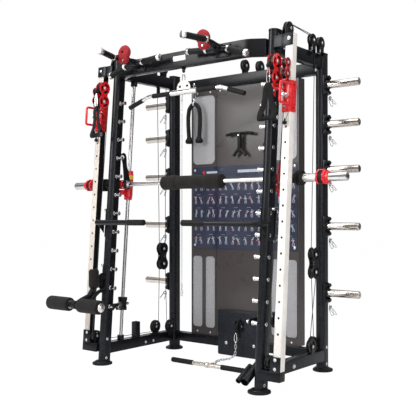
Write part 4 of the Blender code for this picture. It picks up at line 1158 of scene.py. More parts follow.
def rear_upright(side):
    section = post_section(REAR_POST_X, corner_y=0.395, round_y=0.355)
    weld = [(0, 0.034), (0, 0.053), (0.004, 0.051), (0.008, 0.046), (0.009, 0.034)]
    cap = prism(grown(section, REAR_POST_X, 0.365, 1.05, 1.04), "z", 2.082, 2.090)
    post = [prism(section, "z", 0.010, 2.084), soft(cap, 0.002, 2, 60),
            ring(weld, (REAR_POST_X, 0.370, 0.0165), Z, 40)]
    horns, centres, clips, bolts = [], [], [], []
    for z in HORN_HEIGHTS:
        plate = bent_outline([(0.332, z - 0.068), (0.388, z - 0.068),
                              (0.388, z + 0.068), (0.332, z + 0.068)], 0.008)
        post.append(soft_prism(plate, "x", 0.670, 0.680, 0.001, 2, 60))
        flange = [(0.670, z - 0.066), (0.700, z - 0.058), (0.704, z - 0.046), (0.690, z - 0.030),
                  (0.690, z + 0.030), (0.704, z + 0.046), (0.700, z + 0.058), (0.670, z + 0.066)]
        for y0, y1 in ((0.330, 0.337), (0.383, 0.390)):
            post.append(soft_prism(flange, "y", y0, y1, 0.001, 2, 60))
        post.append(turned(HORN_BASE, (0.678, HORN_Y, z), X, 40))
        for stud_z in (z - 0.05, z + 0.05):
            post.append(turned(HORN_STUD, (0.678, HORN_Y, stud_z), X, 24))
            post.append(turned([(0, 0.0085), (0.004, 0.0085), (0.006, 0.006)],
                               (0.688, 0.330, stud_z), -Y, 6))
        horns.append(turned(HORN_SHAFT, (0.6965, HORN_Y, z), X, 40))
        # dark disc of painted shade in the small hollow at the horn's end
        centres.append(rod((0.916, HORN_Y, z), X, 0.0042, 0.0012, 16))
        clips += plate_clip(z)
    make("rear_upright", "post", post, BLACK, side)
    make("rear_upright", "horns", horns, HORN, side)
    make("rear_upright", "horn_centres", centres, DARK_AND_HOLE_SHADE, side)
    make("rear_upright", "clips", clips, CLIP_WIRE, side)
    for z in (0.046, 0.156):
        bolts += button_bolt((0.672, 0.377, z), X, 0.0085)
    for z in (1.97, 2.03, 0.088, 0.122):
        bolts += hex_bolt((REAR_POST_X, 0.405, z), Y, 0.0075)
    make("rear_upright", "bolts", bolts, ZINC_FRAME, side)
    make("rear_upright", "foot", [rubber_foot(0.645, 0.372, 0.066)], FOOT_RUBBER, side)


# ---------------------------------------------------------------- side rails and guide rod
def rail_tube(z0, z1):
    """Box rail from the leaning front upright to the rear one."""
    x0, x1 = UPRIGHT_X - 0.0275, UPRIGHT_X + 0.0275
    y0, y1 = front_y(z0) + 0.0403, front_y(z1) + 0.0403
    verts = [(x0, y0, z0), (x1, y0, z0), (x1, y1, z1), (x0, y1, z1)]
    verts += [(x, 0.3402, z) for x, y, z in verts]
    faces = [(3, 2, 1, 0), (4, 5, 6, 7)]
    faces += [(i, (i + 1) % 4, 4 + (i + 1) % 4, 4 + i) for i in range(4)]
    return soft((verts, faces), 0.0035, 3)


def rod_cup(z0, z1):
    """Socket for an end of the guide rod."""
    h = z1 - z0
    profile = [(0, 0.0133), (0, 0.0232), (0.0012, 0.024), (h - 0.0012, 0.024),
               (h, 0.0232), (h, 0.0133)]
    return lean(ring(profile, (UPRIGHT_X, ROD_DEPTH, z0), Z, 36))


def side_base_rail(side):
    left = side == "l"
    wheels = base_wheels(side)
    rail = [rail_tube(0.070, 0.145), rod_cup(0.144, 0.177)]
    bolts, rollers = [], []
    for i, ((x, y), bottom) in enumerate(zip(wheels, (0.140, 0.125))):
        outline = cheek(y, BASE_WHEEL_Z, half=0.017, shoulder_y=0.012, shoulder_z=0.012,
                        crown=0.017, bottom=bottom)
        rail += plate_pair(outline, x, 0.0128, 0.0158)
        bolts += bolt_pair(hex_bolt, x, 0.0158, y, BASE_WHEEL_Z, 0.0072, 0.005)
        rollers += pulley((x, y, BASE_WHEEL_Z), 0.0112, 0.0470, turn=0.3 + i)
    x, y = wheels[1]
    rail.append(soft_box(x - 0.0165, 0.630, y - 0.018, y + 0.018, 0.118, 0.140, 0.0012))
    if left:
        socket = prism(rounded(UPRIGHT_X, -0.048, 0.0225, 0.0225, 0.003, 4), "z", 0.144, 0.253)
        bore = prism(rounded(UPRIGHT_X, -0.048, 0.0198, 0.0198, 0.002, 3), "z", 0.160, 0.26)
        rail.append(cut(soft(socket, 0.0008, 1, 60), [bore]))
    else:
        # lug of the landmine holder
        rail.append(soft_box(0.6095, 0.623, -0.284, -0.240, 0.090, 0.168, 0.0015))
    make("side_base_rail", "rail", rail, BLACK, side)
    make("side_base_rail", "wheels", rollers, NYLON, side)
    for y in (0.028, 0.110) if left else (0.028,):
        bolts += button_bolt((UPRIGHT_X - 0.0275, y, 0.098), -X, 0.0085)
    if not left:
        # pin of the landmine holder
        bolts.append(cylinder((0.616, *LANDMINE_PIVOT[1:]), (0.5465, *LANDMINE_PIVOT[1:]),
                              0.007, 20))
        bolts.append(turned([(0, 0.0098), (0.001, 0.0108), (0.0035, 0.0108), (0.0045, 0.0092)],
                            (0.550, *LANDMINE_PIVOT[1:]), -X, 6))
    bolts += hex_bolt((UPRIGHT_X + 0.0275, -0.041, 0.100), X, 0.010, 0.0075)
    make("side_base_rail", "bolts", bolts, ZINC_FRAME, side)


def side_top_rail(side):
    rail = [rail_tube(1.985, 2.068), rod_cup(1.953, 1.986)]
    bolts, rollers = [], []
    x, z = TOP_RAIL_WHEEL_X, TOP_RAIL_WHEEL_Z
    for y in TOP_RAIL_WHEEL_YS:
        outline = bent_outline([(y - 0.020, 2.040), (y + 0.020, 2.040), (y + 0.022, 2.150),
                                (y + 0.010, 2.166), (y - 0.010, 2.166), (y - 0.022, 2.150)], 0.010)
        rail += plate_pair(outline, x, 0.013, 0.016, 0.0005, 1, 60)
        bolts += bolt_pair(hex_bolt, x, 0.016, y, z, 0.0076, 0.005)
        rail.append(soft_box(x - 0.016, x + 0.016, y - 0.018, y + 0.018, 2.050, 2.072, 0.0012))
        rollers += pulley((x, y, z), 0.0122, 0.0405, turn=y * 7)
    # bracket below the rail with its own bolt
    rail.append(soft_box(0.674, 0.680, 0.205, 0.240, 1.925, 1.990, 0.0012))
    bolts += hex_bolt((0.680, 0.2225, 1.953), X, 0.0085, 0.0065)
    make("side_top_rail", "rail", rail, BLACK, side)
    make("side_top_rail", "wheels", rollers, NYLON, side)
    bolts += button_bolt((UPRIGHT_X + 0.0275, -0.150, 2.026), X, 0.008)
    make("side_top_rail", "bolts", bolts, ZINC_FRAME, side)


def on_rod(z):
    return Vector((UPRIGHT_X, front_y(z) + ROD_DEPTH, z))


def guide_rod(side):
    shape = cylinder(on_rod(0.1505), on_rod(1.979), ROD_RADIUS, 40, edge=0.001)
    make("guide_rod", "rod", [shape], CHROME_ROD, side)


# ---------------------------------------------------------------- column rail with its holes
def column_rail(side):
    hole_zs = [HOLE_Z0 + HOLE_PITCH * i for i in range(HOLES)]
    walls = prism(rounded(RAIL_X, RAIL_DEPTH, 0.025, 0.025, 0.0042, 5), "z", 0.1408, 2.079)
    walls = cut(walls, [prism(rounded(RAIL_X, RAIL_DEPTH, 0.022, 0.022, 0.002, 3),
                              "z", 0.09, 2.10)])
    walls = cut(walls, [rod((RAIL_X, RAIL_DEPTH - 0.035, z), Y, 0.0074, 0.02, 20)
                        for z in hole_zs])
    # the left rail gets the darker cream copy, which is painted shade
    make("column_rail", "tube", [lean(walls)], CREAM_PAINTED_SHADE_LEFT if side == "l" else CREAM, side)
    # dark strip on the inner face, and behind each hole clear of the trolley a dark disc of painted
    # shade inside the tube
    dark_strip_and_hole_shade = [soft_box(RAIL_X - 0.0254, RAIL_X - 0.0248, RAIL_DEPTH - 0.0235, RAIL_DEPTH + 0.0235,
                      0.142, 2.006, 0.0001, 1)]
    dark_strip_and_hole_shade += [rod((RAIL_X, RAIL_DEPTH - 0.022, z), Y, 0.008, 0.0012, 18)
              for i, z in enumerate(hole_zs) if not 10 <= i <= 15]
    make("column_rail", "dark_strip_and_hole_shade", lean_all(dark_strip_and_hole_shade), DARK_AND_HOLE_SHADE, side)
    plug = prism(rounded(RAIL_X, RAIL_DEPTH, 0.0216, 0.0216, 0.002, 3), "z", 2.070, 2.0782)
    make("column_rail", "plug", [lean(soft(plug, 0.001, 1))], CASTING, side)


# ---------------------------------------------------------------- pull-up grips, climbing holds
# Centre lines of the three grip bars; the last stretch of each carries the sleeve
GRIP_LINES = (
    [(0.372, -0.392, 2.034), (0.385, -0.470, 2.042), (0.385, -0.533, 2.049),
     (0.336, -0.700, 2.054)],
    [(0.345, -0.392, 2.030), (0.273, -0.388, 2.028), (0.114, -0.385, 2.041)],
    [(0.355, -0.388, 2.028), (0.426, -0.384, 2.017), (0.573, -0.384, 1.968)],
)


def grip_cluster(side):
    frame = [soft_box(0.296, 0.404, -0.330, -0.3222, 1.985, 2.062, 0.002, 3),
             soft_box(0.322, 0.378, -0.420, -0.3285, 2.012, 2.052, 0.004, 3),
             tube([(0.350, -0.405, 2.032), (0.328, -0.470, 2.060)], 0.012, 20)]
    collar = [(0, 0.0178), (0.001, 0.0202), (0.0045, 0.021), (0.015, 0.021), (0.016, 0.0192)]
    end_cap = [(0, 0.019), (0.002, 0.0222), (0.0185, 0.0225), (0.0225, 0.0205),
               (0.0245, 0.0155), (0.0245, 0.006), (0.0215, 0.0054)]
    sleeves, chrome = [], []
    for line in GRIP_LINES:
        frame.append(bent_tube(line, 0.03, 6, 0.0128, 24))
        start, end = Vector(line[-2]), Vector(line[-1])
        along = (end - start).normalized()
        length = (end - start).length
        sleeves.append(turned([(0, 0.0165), (0.0015, 0.0186), (0.005, 0.0192),
                               (length - 0.026, 0.0188), (length - 0.024, 0.017)],
                              start + along * 0.010, along))
        chrome.append(turned(collar, start - along * 0.004, along))
        chrome.append(turned(end_cap, end - along * 0.0215, along, 36))
    make("grip_cluster", "frame", frame, BLACK, side)
    make("grip_cluster", "sleeves", sleeves, GRIP, side)
    make("grip_cluster", "chrome", chrome, KNURLED, side)
    bolts = []
    for x in (0.308, 0.392):
        for z in (1.998, 2.048):
            bolts += button_bolt((x, -0.330, z), -Y, 0.0062, 0.0042)
    make("grip_cluster", "bolts", bolts, CASTING, side)


def pebble(centre, scale, seed):
    """Climbing hold: an uneven round outline, domed towards -y and roughened."""
    n = 48
    outline = []
    for i in range(n):
        t = 2 * pi * i / n
        r = 0.0465 + 0.0028 * cos(2 * t + 0.4) + 0.0016 * cos(3 * t + 1.2)
        outline.append((r * cos(t), r * sin(t)))
    # (height towards the front, share of the outline)
    profile = [(-0.016, 0.70), (-0.013, 0.90), (-0.006, 0.985), (0.002, 1.0),
               (0.010, 0.93), (0.0155, 0.80), (0.0175, 0.60), (0.0178, 0.30)]
    verts = []
    for height, share in profile:
        for i in range(n):
            x, z = outline[(i + seed * 7) % n]
            p = Vector((centre[0] + x * share * scale, centre[1] - height,
                        centre[2] + z * share * scale))
            w = noise.noise(p * 38 + Vector((seed, 0, 0))) * 0.0010
            verts.append((p.x + w * x * 20, p.y + w, p.z + w * z * 20))
    return verts, skin(len(profile), n)


def climbing_hold(side):
    upper = cut(pebble((0.3265, -0.4925, 2.079), 1.03, 1),
                [turned([(0, 0.0105), (0.012, 0.0085), (0.02, 0.0085)],
                        (0.331, -0.513, 2.080), Y, 20)])
    lower = cut(pebble((0.3335, -0.4925, 2.0405), 0.88, 2),
                [turned([(0, 0.01), (0.006, 0.009), (0.02, 0.009)], (0.330, -0.513, 2.026), Y, 20)])
    make("climbing_hold", "shell", [upper, lower], RESIN, side)
    bolt = [(0, 0.0078), (0.0028, 0.0078), (0.0038, 0.0062), (0.0038, 0.0034), (0.0018, 0.0032)]
    make("climbing_hold", "bolt", [turned(bolt, (0.330, -0.504, 2.026), -Y, 20)], ZINC, side)
    # dark disc of painted shade at the bottom of the upper hold's bolt hole
    make("climbing_hold", "socket", [rod((0.331, -0.4975, 2.080), -Y, 0.0082, 0.001, 20)],
         DARK_AND_HOLE_SHADE, side)


# ---------------------------------------------------------------- weight cover and stack
# Openings in the cover: x0, x1, z0, z1
COVER_WINDOWS = ((0.245, 0.455, 1.400, 1.913), (0.362, 0.455, 0.190, 0.720),
                 (0.245, 0.335, 0.190, 0.720))
GRILLE_PITCH = 0.0072


def window_outline(x0, x1, z0, z1, grow=0.0):
    r = 0.026 if x1 - x0 < 0.15 else 0.040
    return rounded((x0 + x1) / 2, (z0 + z1) / 2, (x1 - x0) / 2 + grow, (z1 - z0) / 2 + grow,
                   r + grow, 6)


def window_lip(window):
    outer, inner = window_outline(*window, 0.0035), window_outline(*window, -0.0015)
    verts = []
    for outline, dy in ((outer, -0.001), (outer, 0.001), (inner, 0.003), (inner, -0.001)):
        verts += [(x, COVER_Y + dy, z) for x, z in outline]
    return verts, skin(4, len(outer), closed=True)


def grille(x0, x1, z0, z1):
    """Two layers of diagonal wires, x = offset + slope * z, clipped to the opening."""
    wires = []
    for slope in (1, -1):
        rising = slope > 0
        offset = (x0 - z1 if rising else x0 + z0) + GRILLE_PITCH
        last = x1 - z0 if rising else x1 + z1
        y = COVER_Y + (0.0023 if rising else 0.0031)
        while offset < last - GRILLE_PITCH * 0.5:
            low = max(z0, x0 - offset if rising else offset - x1)
            high = min(z1, x1 - offset if rising else offset - x0)
            if high - low > 0.004:
                ax, bx = offset + slope * low, offset + slope * high
                length = hypot(bx - ax, high - low)
                nx, nz = -(high - low) / length * 0.00105, (bx - ax) / length * 0.00105
                strip = [(ax + nx, low + nz), (bx + nx, high + nz),
                         (bx - nx, high - nz), (ax - nx, low - nz)]
                wires.append(prism(strip, "y", y, y + 0.0009))
            offset += GRILLE_PITCH * 1.4142
    return wires


def weight_cover(side):
    x0, x1, z0, z1 = 0.2318, 0.468, 0.1355, 1.9545
    sheet = cut(prism([(x0, z0), (x1, z0), (x1, z1), (x0, z1)], "y", COVER_Y, COVER_Y + 0.0022),
                [prism(window_outline(*w), "y", COVER_Y - 0.01, COVER_Y + 0.01)
                 for w in COVER_WINDOWS])
    folds = [soft_box(x, x + 0.0022, COVER_Y + 0.0005, 0.444, 0.1358, 1.9542, 0.0006, 1)
             for x in (x0, x1 - 0.0022)]
    lips, wires, back = [], [], []
    for window in COVER_WINDOWS:
        a, b, c, d = window
        lips.append(window_lip(window))
        back.append(soft_box(a - 0.006, b + 0.006, COVER_Y + 0.0045, COVER_Y + 0.0055,
                             c - 0.006, d + 0.006, 0.0003, 1))
        wires += grille(*window)
    make("weight_cover", "sheet", [sheet] + folds, SMOKE, side)
    make("weight_cover", "lips", lips, LIP, side)
    make("weight_cover", "grille", wires, WIRE, side)
    make("weight_cover", "backing", back, BACKING, side)
    bolts = []
    for x, z in ((0.410, 0.158), (0.290, 0.158), (0.410, 1.934), (0.290, 1.934)):
        bolts += button_bolt((x, COVER_Y, z), -Y, 0.0062, 0.004)
    make("weight_cover", "bolts", bolts, ZINC, side)


def weight_stack(side):
    pitch, thick = 0.0423, 0.0408
    plates = []
    for i in range(10):
        z0 = 0.1368 + pitch * i
        holes = [rod((STACK_X + dx, STACK_Y, z0 - 0.01), Z, 0.0104, 0.06, 20)
                 for dx in (-STACK_ROD_GAP, STACK_ROD_GAP)]
        holes.append(rod((STACK_X, 0.4195, z0 + thick / 2), Y, 0.0055, 0.02, 14))
        plates.append(cut(soft_box(STACK_X - 0.095, STACK_X + 0.095, 0.3745, 0.4295,
                                   z0, z0 + thick, 0.0022, 2), holes))
    plates.append(cylinder((STACK_X, STACK_Y, 0.555), (STACK_X, STACK_Y, 0.610), 0.012, 28))
    make("weight_stack", "plates", plates, IRON, side)


# ---------------------------------------------------------------- bearing carriage
def on_bar(x=0):
    return (x, BAR_Y, BAR_Z)


def bearing_carriage(side):
    axis = Vector((0, LEAN, 1)).normalized()
    base = on_rod(1.133)
    length = (on_rod(1.337) - base).length
    half = [(0, 0.0135), (0, 0.0265), (0.0015, 0.028), (0.020, 0.028), (0.0215, 0.0305)]
    sleeve = ring(half + [(length - t, r) for t, r in reversed(half)], base, axis, 40)
    block = cut(soft_box(0.619, 0.679, BAR_Y - 0.031, BAR_Y + 0.060,
                         BAR_Z - 0.031, BAR_Z + 0.031, 0.004, 3),
                [rod(on_bar(0.60), X, 0.0152, 0.1, 40),
                 lean(rod((UPRIGHT_X, ROD_DEPTH, 1.14), Z, 0.031, 0.2, 32))])
    foot = soft_box(0.630, 0.668, BAR_Y - 0.024, BAR_Y + 0.030, BAR_Z - 0.072, BAR_Z - 0.038,
                    0.003, 2)
    make("bearing_carriage", "housing", [sleeve, block, foot], RED, side)
    seals = []
    for t, shift in ((0.001, -0.0016), (length - 0.019, 0.0026)):
        seals.append(ring([(t, 0.0135), (t, 0.0262), (t + 0.018, 0.0262), (t + 0.018, 0.0135)],
                          base + axis * shift, axis, 36))
    make("bearing_carriage", "seals", seals, NYLON, side)
    screws = []
    for dy in (-0.018, 0.045):
        for dz in (-0.021, 0.021):
            screws += bolt_pair(button_bolt, 0.649, 0.030, BAR_Y + dy, BAR_Z + dz, 0.005, 0.0034)
    make("bearing_carriage", "screws", screws, ZINC, side)
    if side == "l":
        t = length - 0.060
        make("bearing_carriage", "band",
             [ring([(t, 0.03), (t, 0.0308), (t + 0.030, 0.0308), (t + 0.030, 0.03)],
                   base, axis, 40)], YELLOW, side)


# ---------------------------------------------------------------- latch
def latch(side):
    """Hook plate from the bar to the ninth peg, turned 8 degrees off it."""
    peg_z = PEG_Z0 + PEG_PITCH * 8
    dy, dz = front_y(peg_z) + PEG_DEPTH - BAR_Y, peg_z - BAR_Z
    reach = hypot(dy, dz)
    along = (dy / reach, dz / reach)
    across = (along[1], -along[0])
    # (distance from the bar towards the peg, distance across)
    edge = [(0.0, -0.0335), (0.030, -0.0245), (0.090, -0.0160), (0.150, -0.0105),
            (reach - 0.026, -0.0125), (reach - 0.015, -0.0125), (reach - 0.013, 0.0)]
    for i in range(13):
        t = -pi / 2 + pi * i / 12
        edge.append((reach + 0.0132 * sin(t), 0.0015 + 0.0132 * cos(t)))
    edge += [(reach + a, b) for a, b in (
        (0.0130, -0.0100), (0.0165, -0.0125), (0.0235, -0.0090), (0.0285, 0.0010),
        (0.0295, 0.0110), (0.0255, 0.0205), (0.0170, 0.0270), (0.0040, 0.0300),
        (-0.0130, 0.0300), (-0.0400, 0.0250))]
    edge += [(0.130, 0.0230), (0.080, 0.0250), (0.030, 0.0300), (0.0, 0.0335)]
    for i in range(1, 12):
        t = pi / 2 + pi * i / 12
        edge.append((0.0335 * cos(t), 0.0335 * sin(t)))
    outline = [(BAR_Y + along[0] * a + across[0] * b, BAR_Z + along[1] * a + across[1] * b)
               for a, b in edge]
    plate = cut(soft(prism(outline, "x", 0.5885, 0.5985), 0.0012, 2, 50),
                [rod(on_bar(0.57), X, 0.0148, 0.05, 36)])
    hub = [(0.5755, 0.0148), (0.5755, 0.03), (0.5775, 0.0325), (0.58, 0.0335), (0.59, 0.0335),
           (0.59, 0.0148)]
    spacer = [(0.5975, 0.0148), (0.5975, 0.026), (0.603, 0.026), (0.604, 0.0248),
              (0.604, 0.0148)]
    make("latch", "arm", [spun(plate, -radians(8), on_bar()), ring(hub, on_bar(), X, 40),
                          ring(spacer, on_bar(), X, 36)], BLACK, side)
    hub_ring = [ring([(0.5725, 0.0148), (0.5725, 0.0215), (0.5735, 0.024), (0.576, 0.025),
                      (0.5765, 0.0148)], on_bar(), X, 36)]
    for i in range(4):
        t = pi / 4 + pi / 2 * i
        hub_ring += button_bolt((0.5757, BAR_Y + 0.0288 * cos(t), BAR_Z + 0.0288 * sin(t)),
                                -X, 0.0026, 0.0022)
    make("latch", "hub_ring", hub_ring, CHROME, side)


# ---------------------------------------------------------------- bar collar
def bar_collar(side):
    """Eight-sided clamp with a lever on top."""
    octagon = []
    for i in range(8):
        t = 2 * pi * (i + 0.5) / 8
        octagon.append((BAR_Y + 0.0425 * cos(t), BAR_Z + 0.0425 * sin(t)))
    bore = rod(on_bar(0.975 - 0.1), X, 0.0254, 0.2, 40)
    groove = ring([(0.9455, 0.035), (0.9455, 0.06), (0.9745, 0.06), (0.9745, 0.035)],
                  on_bar(), X, 40)
    body = cut(soft(prism(octagon, "x", 0.932, 0.990), 0.0025, 3, 20), [bore])
    body = cut(body, [groove])
    neck = cut(turned([(0.988, 0.033), (1.005, 0.033), (1.0075, 0.0305)], on_bar(), X, 40), [bore])
    lever = soft_box(0.935, 0.980, BAR_Y - 0.010, BAR_Y + 0.010, BAR_Z + 0.038, BAR_Z + 0.046,
                     0.0025, 3)
    make("bar_collar", "clamp", [body, neck, lever], RED, side)
    insert = [(0.946, 0.0258), (0.946, 0.037), (0.9475, 0.0385), (0.9725, 0.0385),
              (0.974, 0.037), (0.974, 0.0258)]
    make("bar_collar", "insert", [ring(insert, on_bar(), X, 40)], HANDLE_RUBBER, side)
    make("bar_collar", "pin", [cylinder((0.940, BAR_Y - 0.015, BAR_Z + 0.040),
                                        (0.940, BAR_Y + 0.015, BAR_Z + 0.040), 0.0028, 14)],
         ZINC, side)


# ---------------------------------------------------------------- safety stop
# (x, depth) outline of the arm that reaches forward from the rod
STOP_ARM = [(0.640, 0.142), (0.622, 0.140), (0.600, 0.104), (0.578, 0.066), (0.564, 0.044),
            (0.5605, 0.034), (0.5605, -0.010), (0.5722, -0.010), (0.5722, 0.030), (0.578, 0.042),
            (0.590, 0.058), (0.612, 0.096), (0.640, 0.128)]


def safety_stop(side):
    base, top = on_rod(0.352), on_rod(0.443)
    length = (top - base).length
    sleeve = ring([(0, 0.0135), (0, 0.031), (0.002, 0.033), (0.022, 0.033), (0.0235, 0.03),
                   (0.0675, 0.03), (0.069, 0.033), (length - 0.002, 0.033), (length, 0.031),
                   (length, 0.0135)], base, top - base, 40)
    arm = cut(soft(prism(STOP_ARM, "z", 0.372, 0.418), 0.0012, 2, 50),
              [prism(circle(0.010, 0.374, 0.0145, 20), "x", 0.55, 0.58)])
    make("safety_stop", "body",
         [sleeve, lean(arm), lean(soft_box(0.618, 0.640, 0.126, 0.150, 0.376, 0.414, 0.002))],
         BLACK, side)
    z = 0.395
    front_pin = [(0, 0.0042), (0.016, 0.0042), (0.016, 0.0095), (0.018, 0.0105),
                 (0.026, 0.0105), (0.028, 0.009)]
    rear_pin = [(0, 0.0042), (0.012, 0.0042), (0.012, 0.0105), (0.014, 0.0115),
                (0.020, 0.0115), (0.022, 0.0095)]
    make("safety_stop", "pin", [turned(front_pin, (0.5605, front_y(z) + 0.018, z), -X, 24),
                                turned(rear_pin, (0.642, front_y(z) + 0.193, z), Y, 24)],
         CHROME, side)


# ---------------------------------------------------------------- trolley and its pop pin
TROLLEY_SLOT_ZS = (1.640, 1.775)


def trolley(side):
    x0, x1 = RAIL_X - 0.0255, RAIL_X + 0.0255
    y0, y1 = RAIL_DEPTH - 0.0255, RAIL_DEPTH + 0.0255
    slot_y = RAIL_DEPTH + 0.002
    w = 0.004
    sleeve = soft(prism([(x0 - w, y0 - w), (x1 + w, y0 - w), (x1 + w, y1 + w), (x0 - w, y1 + w)],
                        "z", 1.615, 1.800), 0.0018, 3, 60)
    sleeve = cut(sleeve, [prism([(x0, y0), (x1, y0), (x1, y1), (x0, y1)], "z", 1.60, 1.82)])
    sleeve = cut(sleeve, [prism(obround(slot_y, z, 0.009, 0.0046), "x", x1 - 0.002, x1 + 0.02)
                          for z in TROLLEY_SLOT_ZS])
    handle = [(0.800, -0.040, 1.660), (0.800, -0.140, 1.660), (0.800, -0.140, 1.780),
              (0.800, -0.040, 1.780)]
    shelf = [(0.696, -0.096), (0.730, -0.096), (0.772, -0.062), (0.772, -0.0402),
             (0.696, -0.0402)]
    gusset = [(-0.041, 1.710), (-0.041, 1.748), (-0.090, 1.748), (-0.072, 1.733)]
    make("trolley", "carriage",
         lean_all([sleeve, bent_tube(handle, 0.016, 7, 0.008, 20),
                   soft_box(0.768, 0.807, -0.0455, -0.0405, 1.640, 1.796, 0.0015),
                   soft_prism(shelf, "z", 1.747, 1.759, 0.0016, 2),
                   soft_prism(gusset, "x", 0.702, 0.706)]), RED, side)
    # dark fill of painted shade inside the two slots of the sleeve
    make("trolley", "slots",
         [lean(soft(prism(obround(slot_y, z, 0.0088, 0.0037), "x", x1 + 0.0002, x1 + 0.0012),
                    0.0002, 1, 60)) for z in TROLLEY_SLOT_ZS], DARK_AND_HOLE_SHADE, side)
    plates = [eight_plate(x, x + 0.0025, TROLLEY_WHEEL_DEPTH, *TROLLEY_WHEEL_ZS, 0.029, 0.017,
                          0.40, 0.72) for x in (0.7710, 0.7985)]
    plates.append(soft_box(0.771, 0.801, -0.082, -0.043, 1.793, 1.801, 0.0012))
    plates += [soft_box(x, x + 0.0025, -0.080, -0.053, 1.796, 1.820, 0.0006)
               for x in (0.7710, 0.7985)]
    # the rear plates use the darker red copy, which is painted shade
    make("trolley", "rear_plates", lean_all(plates), RED_PAINTED_SHADE, side)
    wheels, bolts = [], []
    for z in TROLLEY_WHEEL_ZS:
        wheels += lean_all(pulley((TROLLEY_WHEEL_X, TROLLEY_WHEEL_DEPTH, z), 0.0108, 0.025,
                                  hub=0.008, groove=0.005, n=36, turn=z))
        y = front_y(z) + TROLLEY_WHEEL_DEPTH
        bolts += hex_bolt((0.801, y, z), X, 0.0062, 0.0044)
        bolts += hex_bolt((0.771, y, z), -X, 0.0062, 0.0044)
    make("trolley", "rear_wheels", wheels, NYLON, side)
    boss = [(0, 0.0055), (0, 0.0125), (0.0015, 0.0135), (0.005, 0.0135), (0.0065, 0.0112),
            (0.017, 0.0112), (0.0175, 0.0098), (0.0175, 0.0055)]
    nut = [(0, 0.0115), (0.006, 0.0115), (0.0072, 0.0098)]
    pivot = (SWIVEL_X, SWIVEL_DEPTH)
    bolts += lean_all([ring(boss, (RAIL_X, -0.0405, PIN_Z), -Y),
                       cylinder((*pivot, 1.756), (*pivot, 1.7775), 0.008, 28),
                       turned(nut, (*pivot, 1.747), -Z, 6)])
    for z in (1.650, 1.788):
        bolts += lean_all(button_bolt((0.7725, -0.0455, z), -Y, 0.005, 0.0034))
    make("trolley", "bolts", bolts, ZINC, side)


def pop_pin(side):
    knob = [(0, 0.0075), (0.0015, 0.0108), (0.005, 0.0125), (0.013, 0.0125), (0.016, 0.011),
            (0.018, 0.0075)]
    make("pop_pin", "knob",
         lean_all([cylinder((RAIL_X, -0.0386, PIN_Z), (RAIL_X, -0.074, PIN_Z), 0.0051, 24),
                   turned(knob, (RAIL_X, -0.0725, PIN_Z), -Y),
                   torus((RAIL_X, -0.080, PIN_Z), Y, 0.012, 0.0011, 32, 8)]), CHROME, side)


# ---------------------------------------------------------------- swivel block
def swivel_block(side):
    x, y = SWIVEL_X, SWIVEL_DEPTH
    low, high = SWIVEL_ZS
    plates = [eight_plate(x + d - 0.0015, x + d + 0.0015, y, low, high, 0.048, 0.0265)
              for d in (-0.0205, 0.0205)]
    plates.append(soft_box(x - 0.020, x + 0.020, y - 0.014, y + 0.014, 1.7785, 1.783, 0.0008))
    plates.append(cut(turned([(0, 0.0128), (0.0012, 0.014), (0.0225, 0.014)], (x, y, 1.7596), Z),
                      [rod((x, y, 1.7575), Z, 0.0084, 0.019, 24)]))
    make("swivel_block", "plates", lean_all(plates), RED, side)
    make("swivel_block", "low_wheel", lean_all(pulley((x, y, low), 0.0165, 0.0405, turn=0.6)),
         NYLON, side)
    bolts = [cylinder((x - 0.0215, y, high), (x + 0.0215, y, high), 0.0058, 20)]
    for z in SWIVEL_ZS:
        bolts += bolt_pair(button_bolt, x, 0.022, y, z, 0.0098, 0.0058)
    make("swivel_block", "bolts", lean_all(bolts), ZINC, side)
    make("block_pulley", "wheel", pulley((x, front_y(high) + y, high), 0.0164, 0.0405), NYLON, side)


# ---------------------------------------------------------------- cable handle
def cable_handle(side):
    stop = Vector((0.714, -0.379, 1.880))
    outer, inner = Vector((0.772, -0.3715, 1.5785)), Vector((0.648, -0.3905, 1.5785))
    along = (inner - outer).normalized()
    neck = turned([(0, 0.0062), (0.010, 0.005)], stop + Vector((0, 0, 0.0115)), (0, 0.55, 0.8), 20)
    grip = ribbed(outer + along * 0.006, inner - along * 0.006, 0.014, ribs=16, depth=0.0011,
                  duty=0.58, collar=0.0022, n=32)
    make("cable_handle", "grip", [ball(stop, 0.0135, 32, 1.05), neck, grip], HANDLE_RUBBER, side)
    steel = snap_hook((0.714, -0.379, 1.870), (0.7125, -0.3795, 1.769), 0.0115, 0.0033)
    steel.append(torus((0.7135, -0.379, 1.864), Y, 0.0068, 0.002, 24, 8))
    end_cap = [(0, 0.011), (0.0008, 0.0118), (0.004, 0.0118), (0.0048, 0.0108)]
    top = Vector((0.712, -0.380, 1.774))
    straps = []

    def strap(path, width, thick):
        straps.append(band(path, along, width, thick))

    for end, way in ((outer, -1), (inner, 1)):
        steel.append(turned(end_cap, end - along * (0.0045 * way), along * way, 28))
        low = end + along * (0.020 * -way)
        # from the hook down to the grip, round it, and back up behind
        strap(bent([top + Vector((0, 0.0022 * way, 0.002)),
                    top.lerp(low, 0.16) + Vector((0.010 * way * along.x, 0.0022 * way, 0)),
                    top.lerp(low, 0.42), top.lerp(low, 0.72), low + Vector((0, 0, 0.040)),
                    low + Vector((0, -0.0135, 0.012)), low + Vector((0, -0.015, 0))], 0.02, 5),
              0.034, 0.003)
        turns = [2 * pi * i / 24 for i in range(25)]
        strap([low + Vector((0, 0.0158 * cos(t), 0.0158 * sin(t))) for t in turns], 0.034, 0.0028)
        strap([top.lerp(low, 0.55) + Vector((0, 0.0024, 0)), low + Vector((0, 0.0036, 0.038)),
               low + Vector((0, 0.015, 0.006))], 0.033, 0.0026)
    make("cable_handle", "steel", steel, CHROME, side)
    # (y, z) of the loop through the hook, from its top point
    eye = ((-0.005, -0.030), (-0.0046, -0.004), (-0.002, 0.005), (0.002, 0.005),
           (0.0046, -0.004), (0.005, -0.030))
    strap([top + Vector((0, y, z)) for y, z in eye], 0.033, 0.003)
    make("cable_handle", "webbing", straps, WEBBING, side)


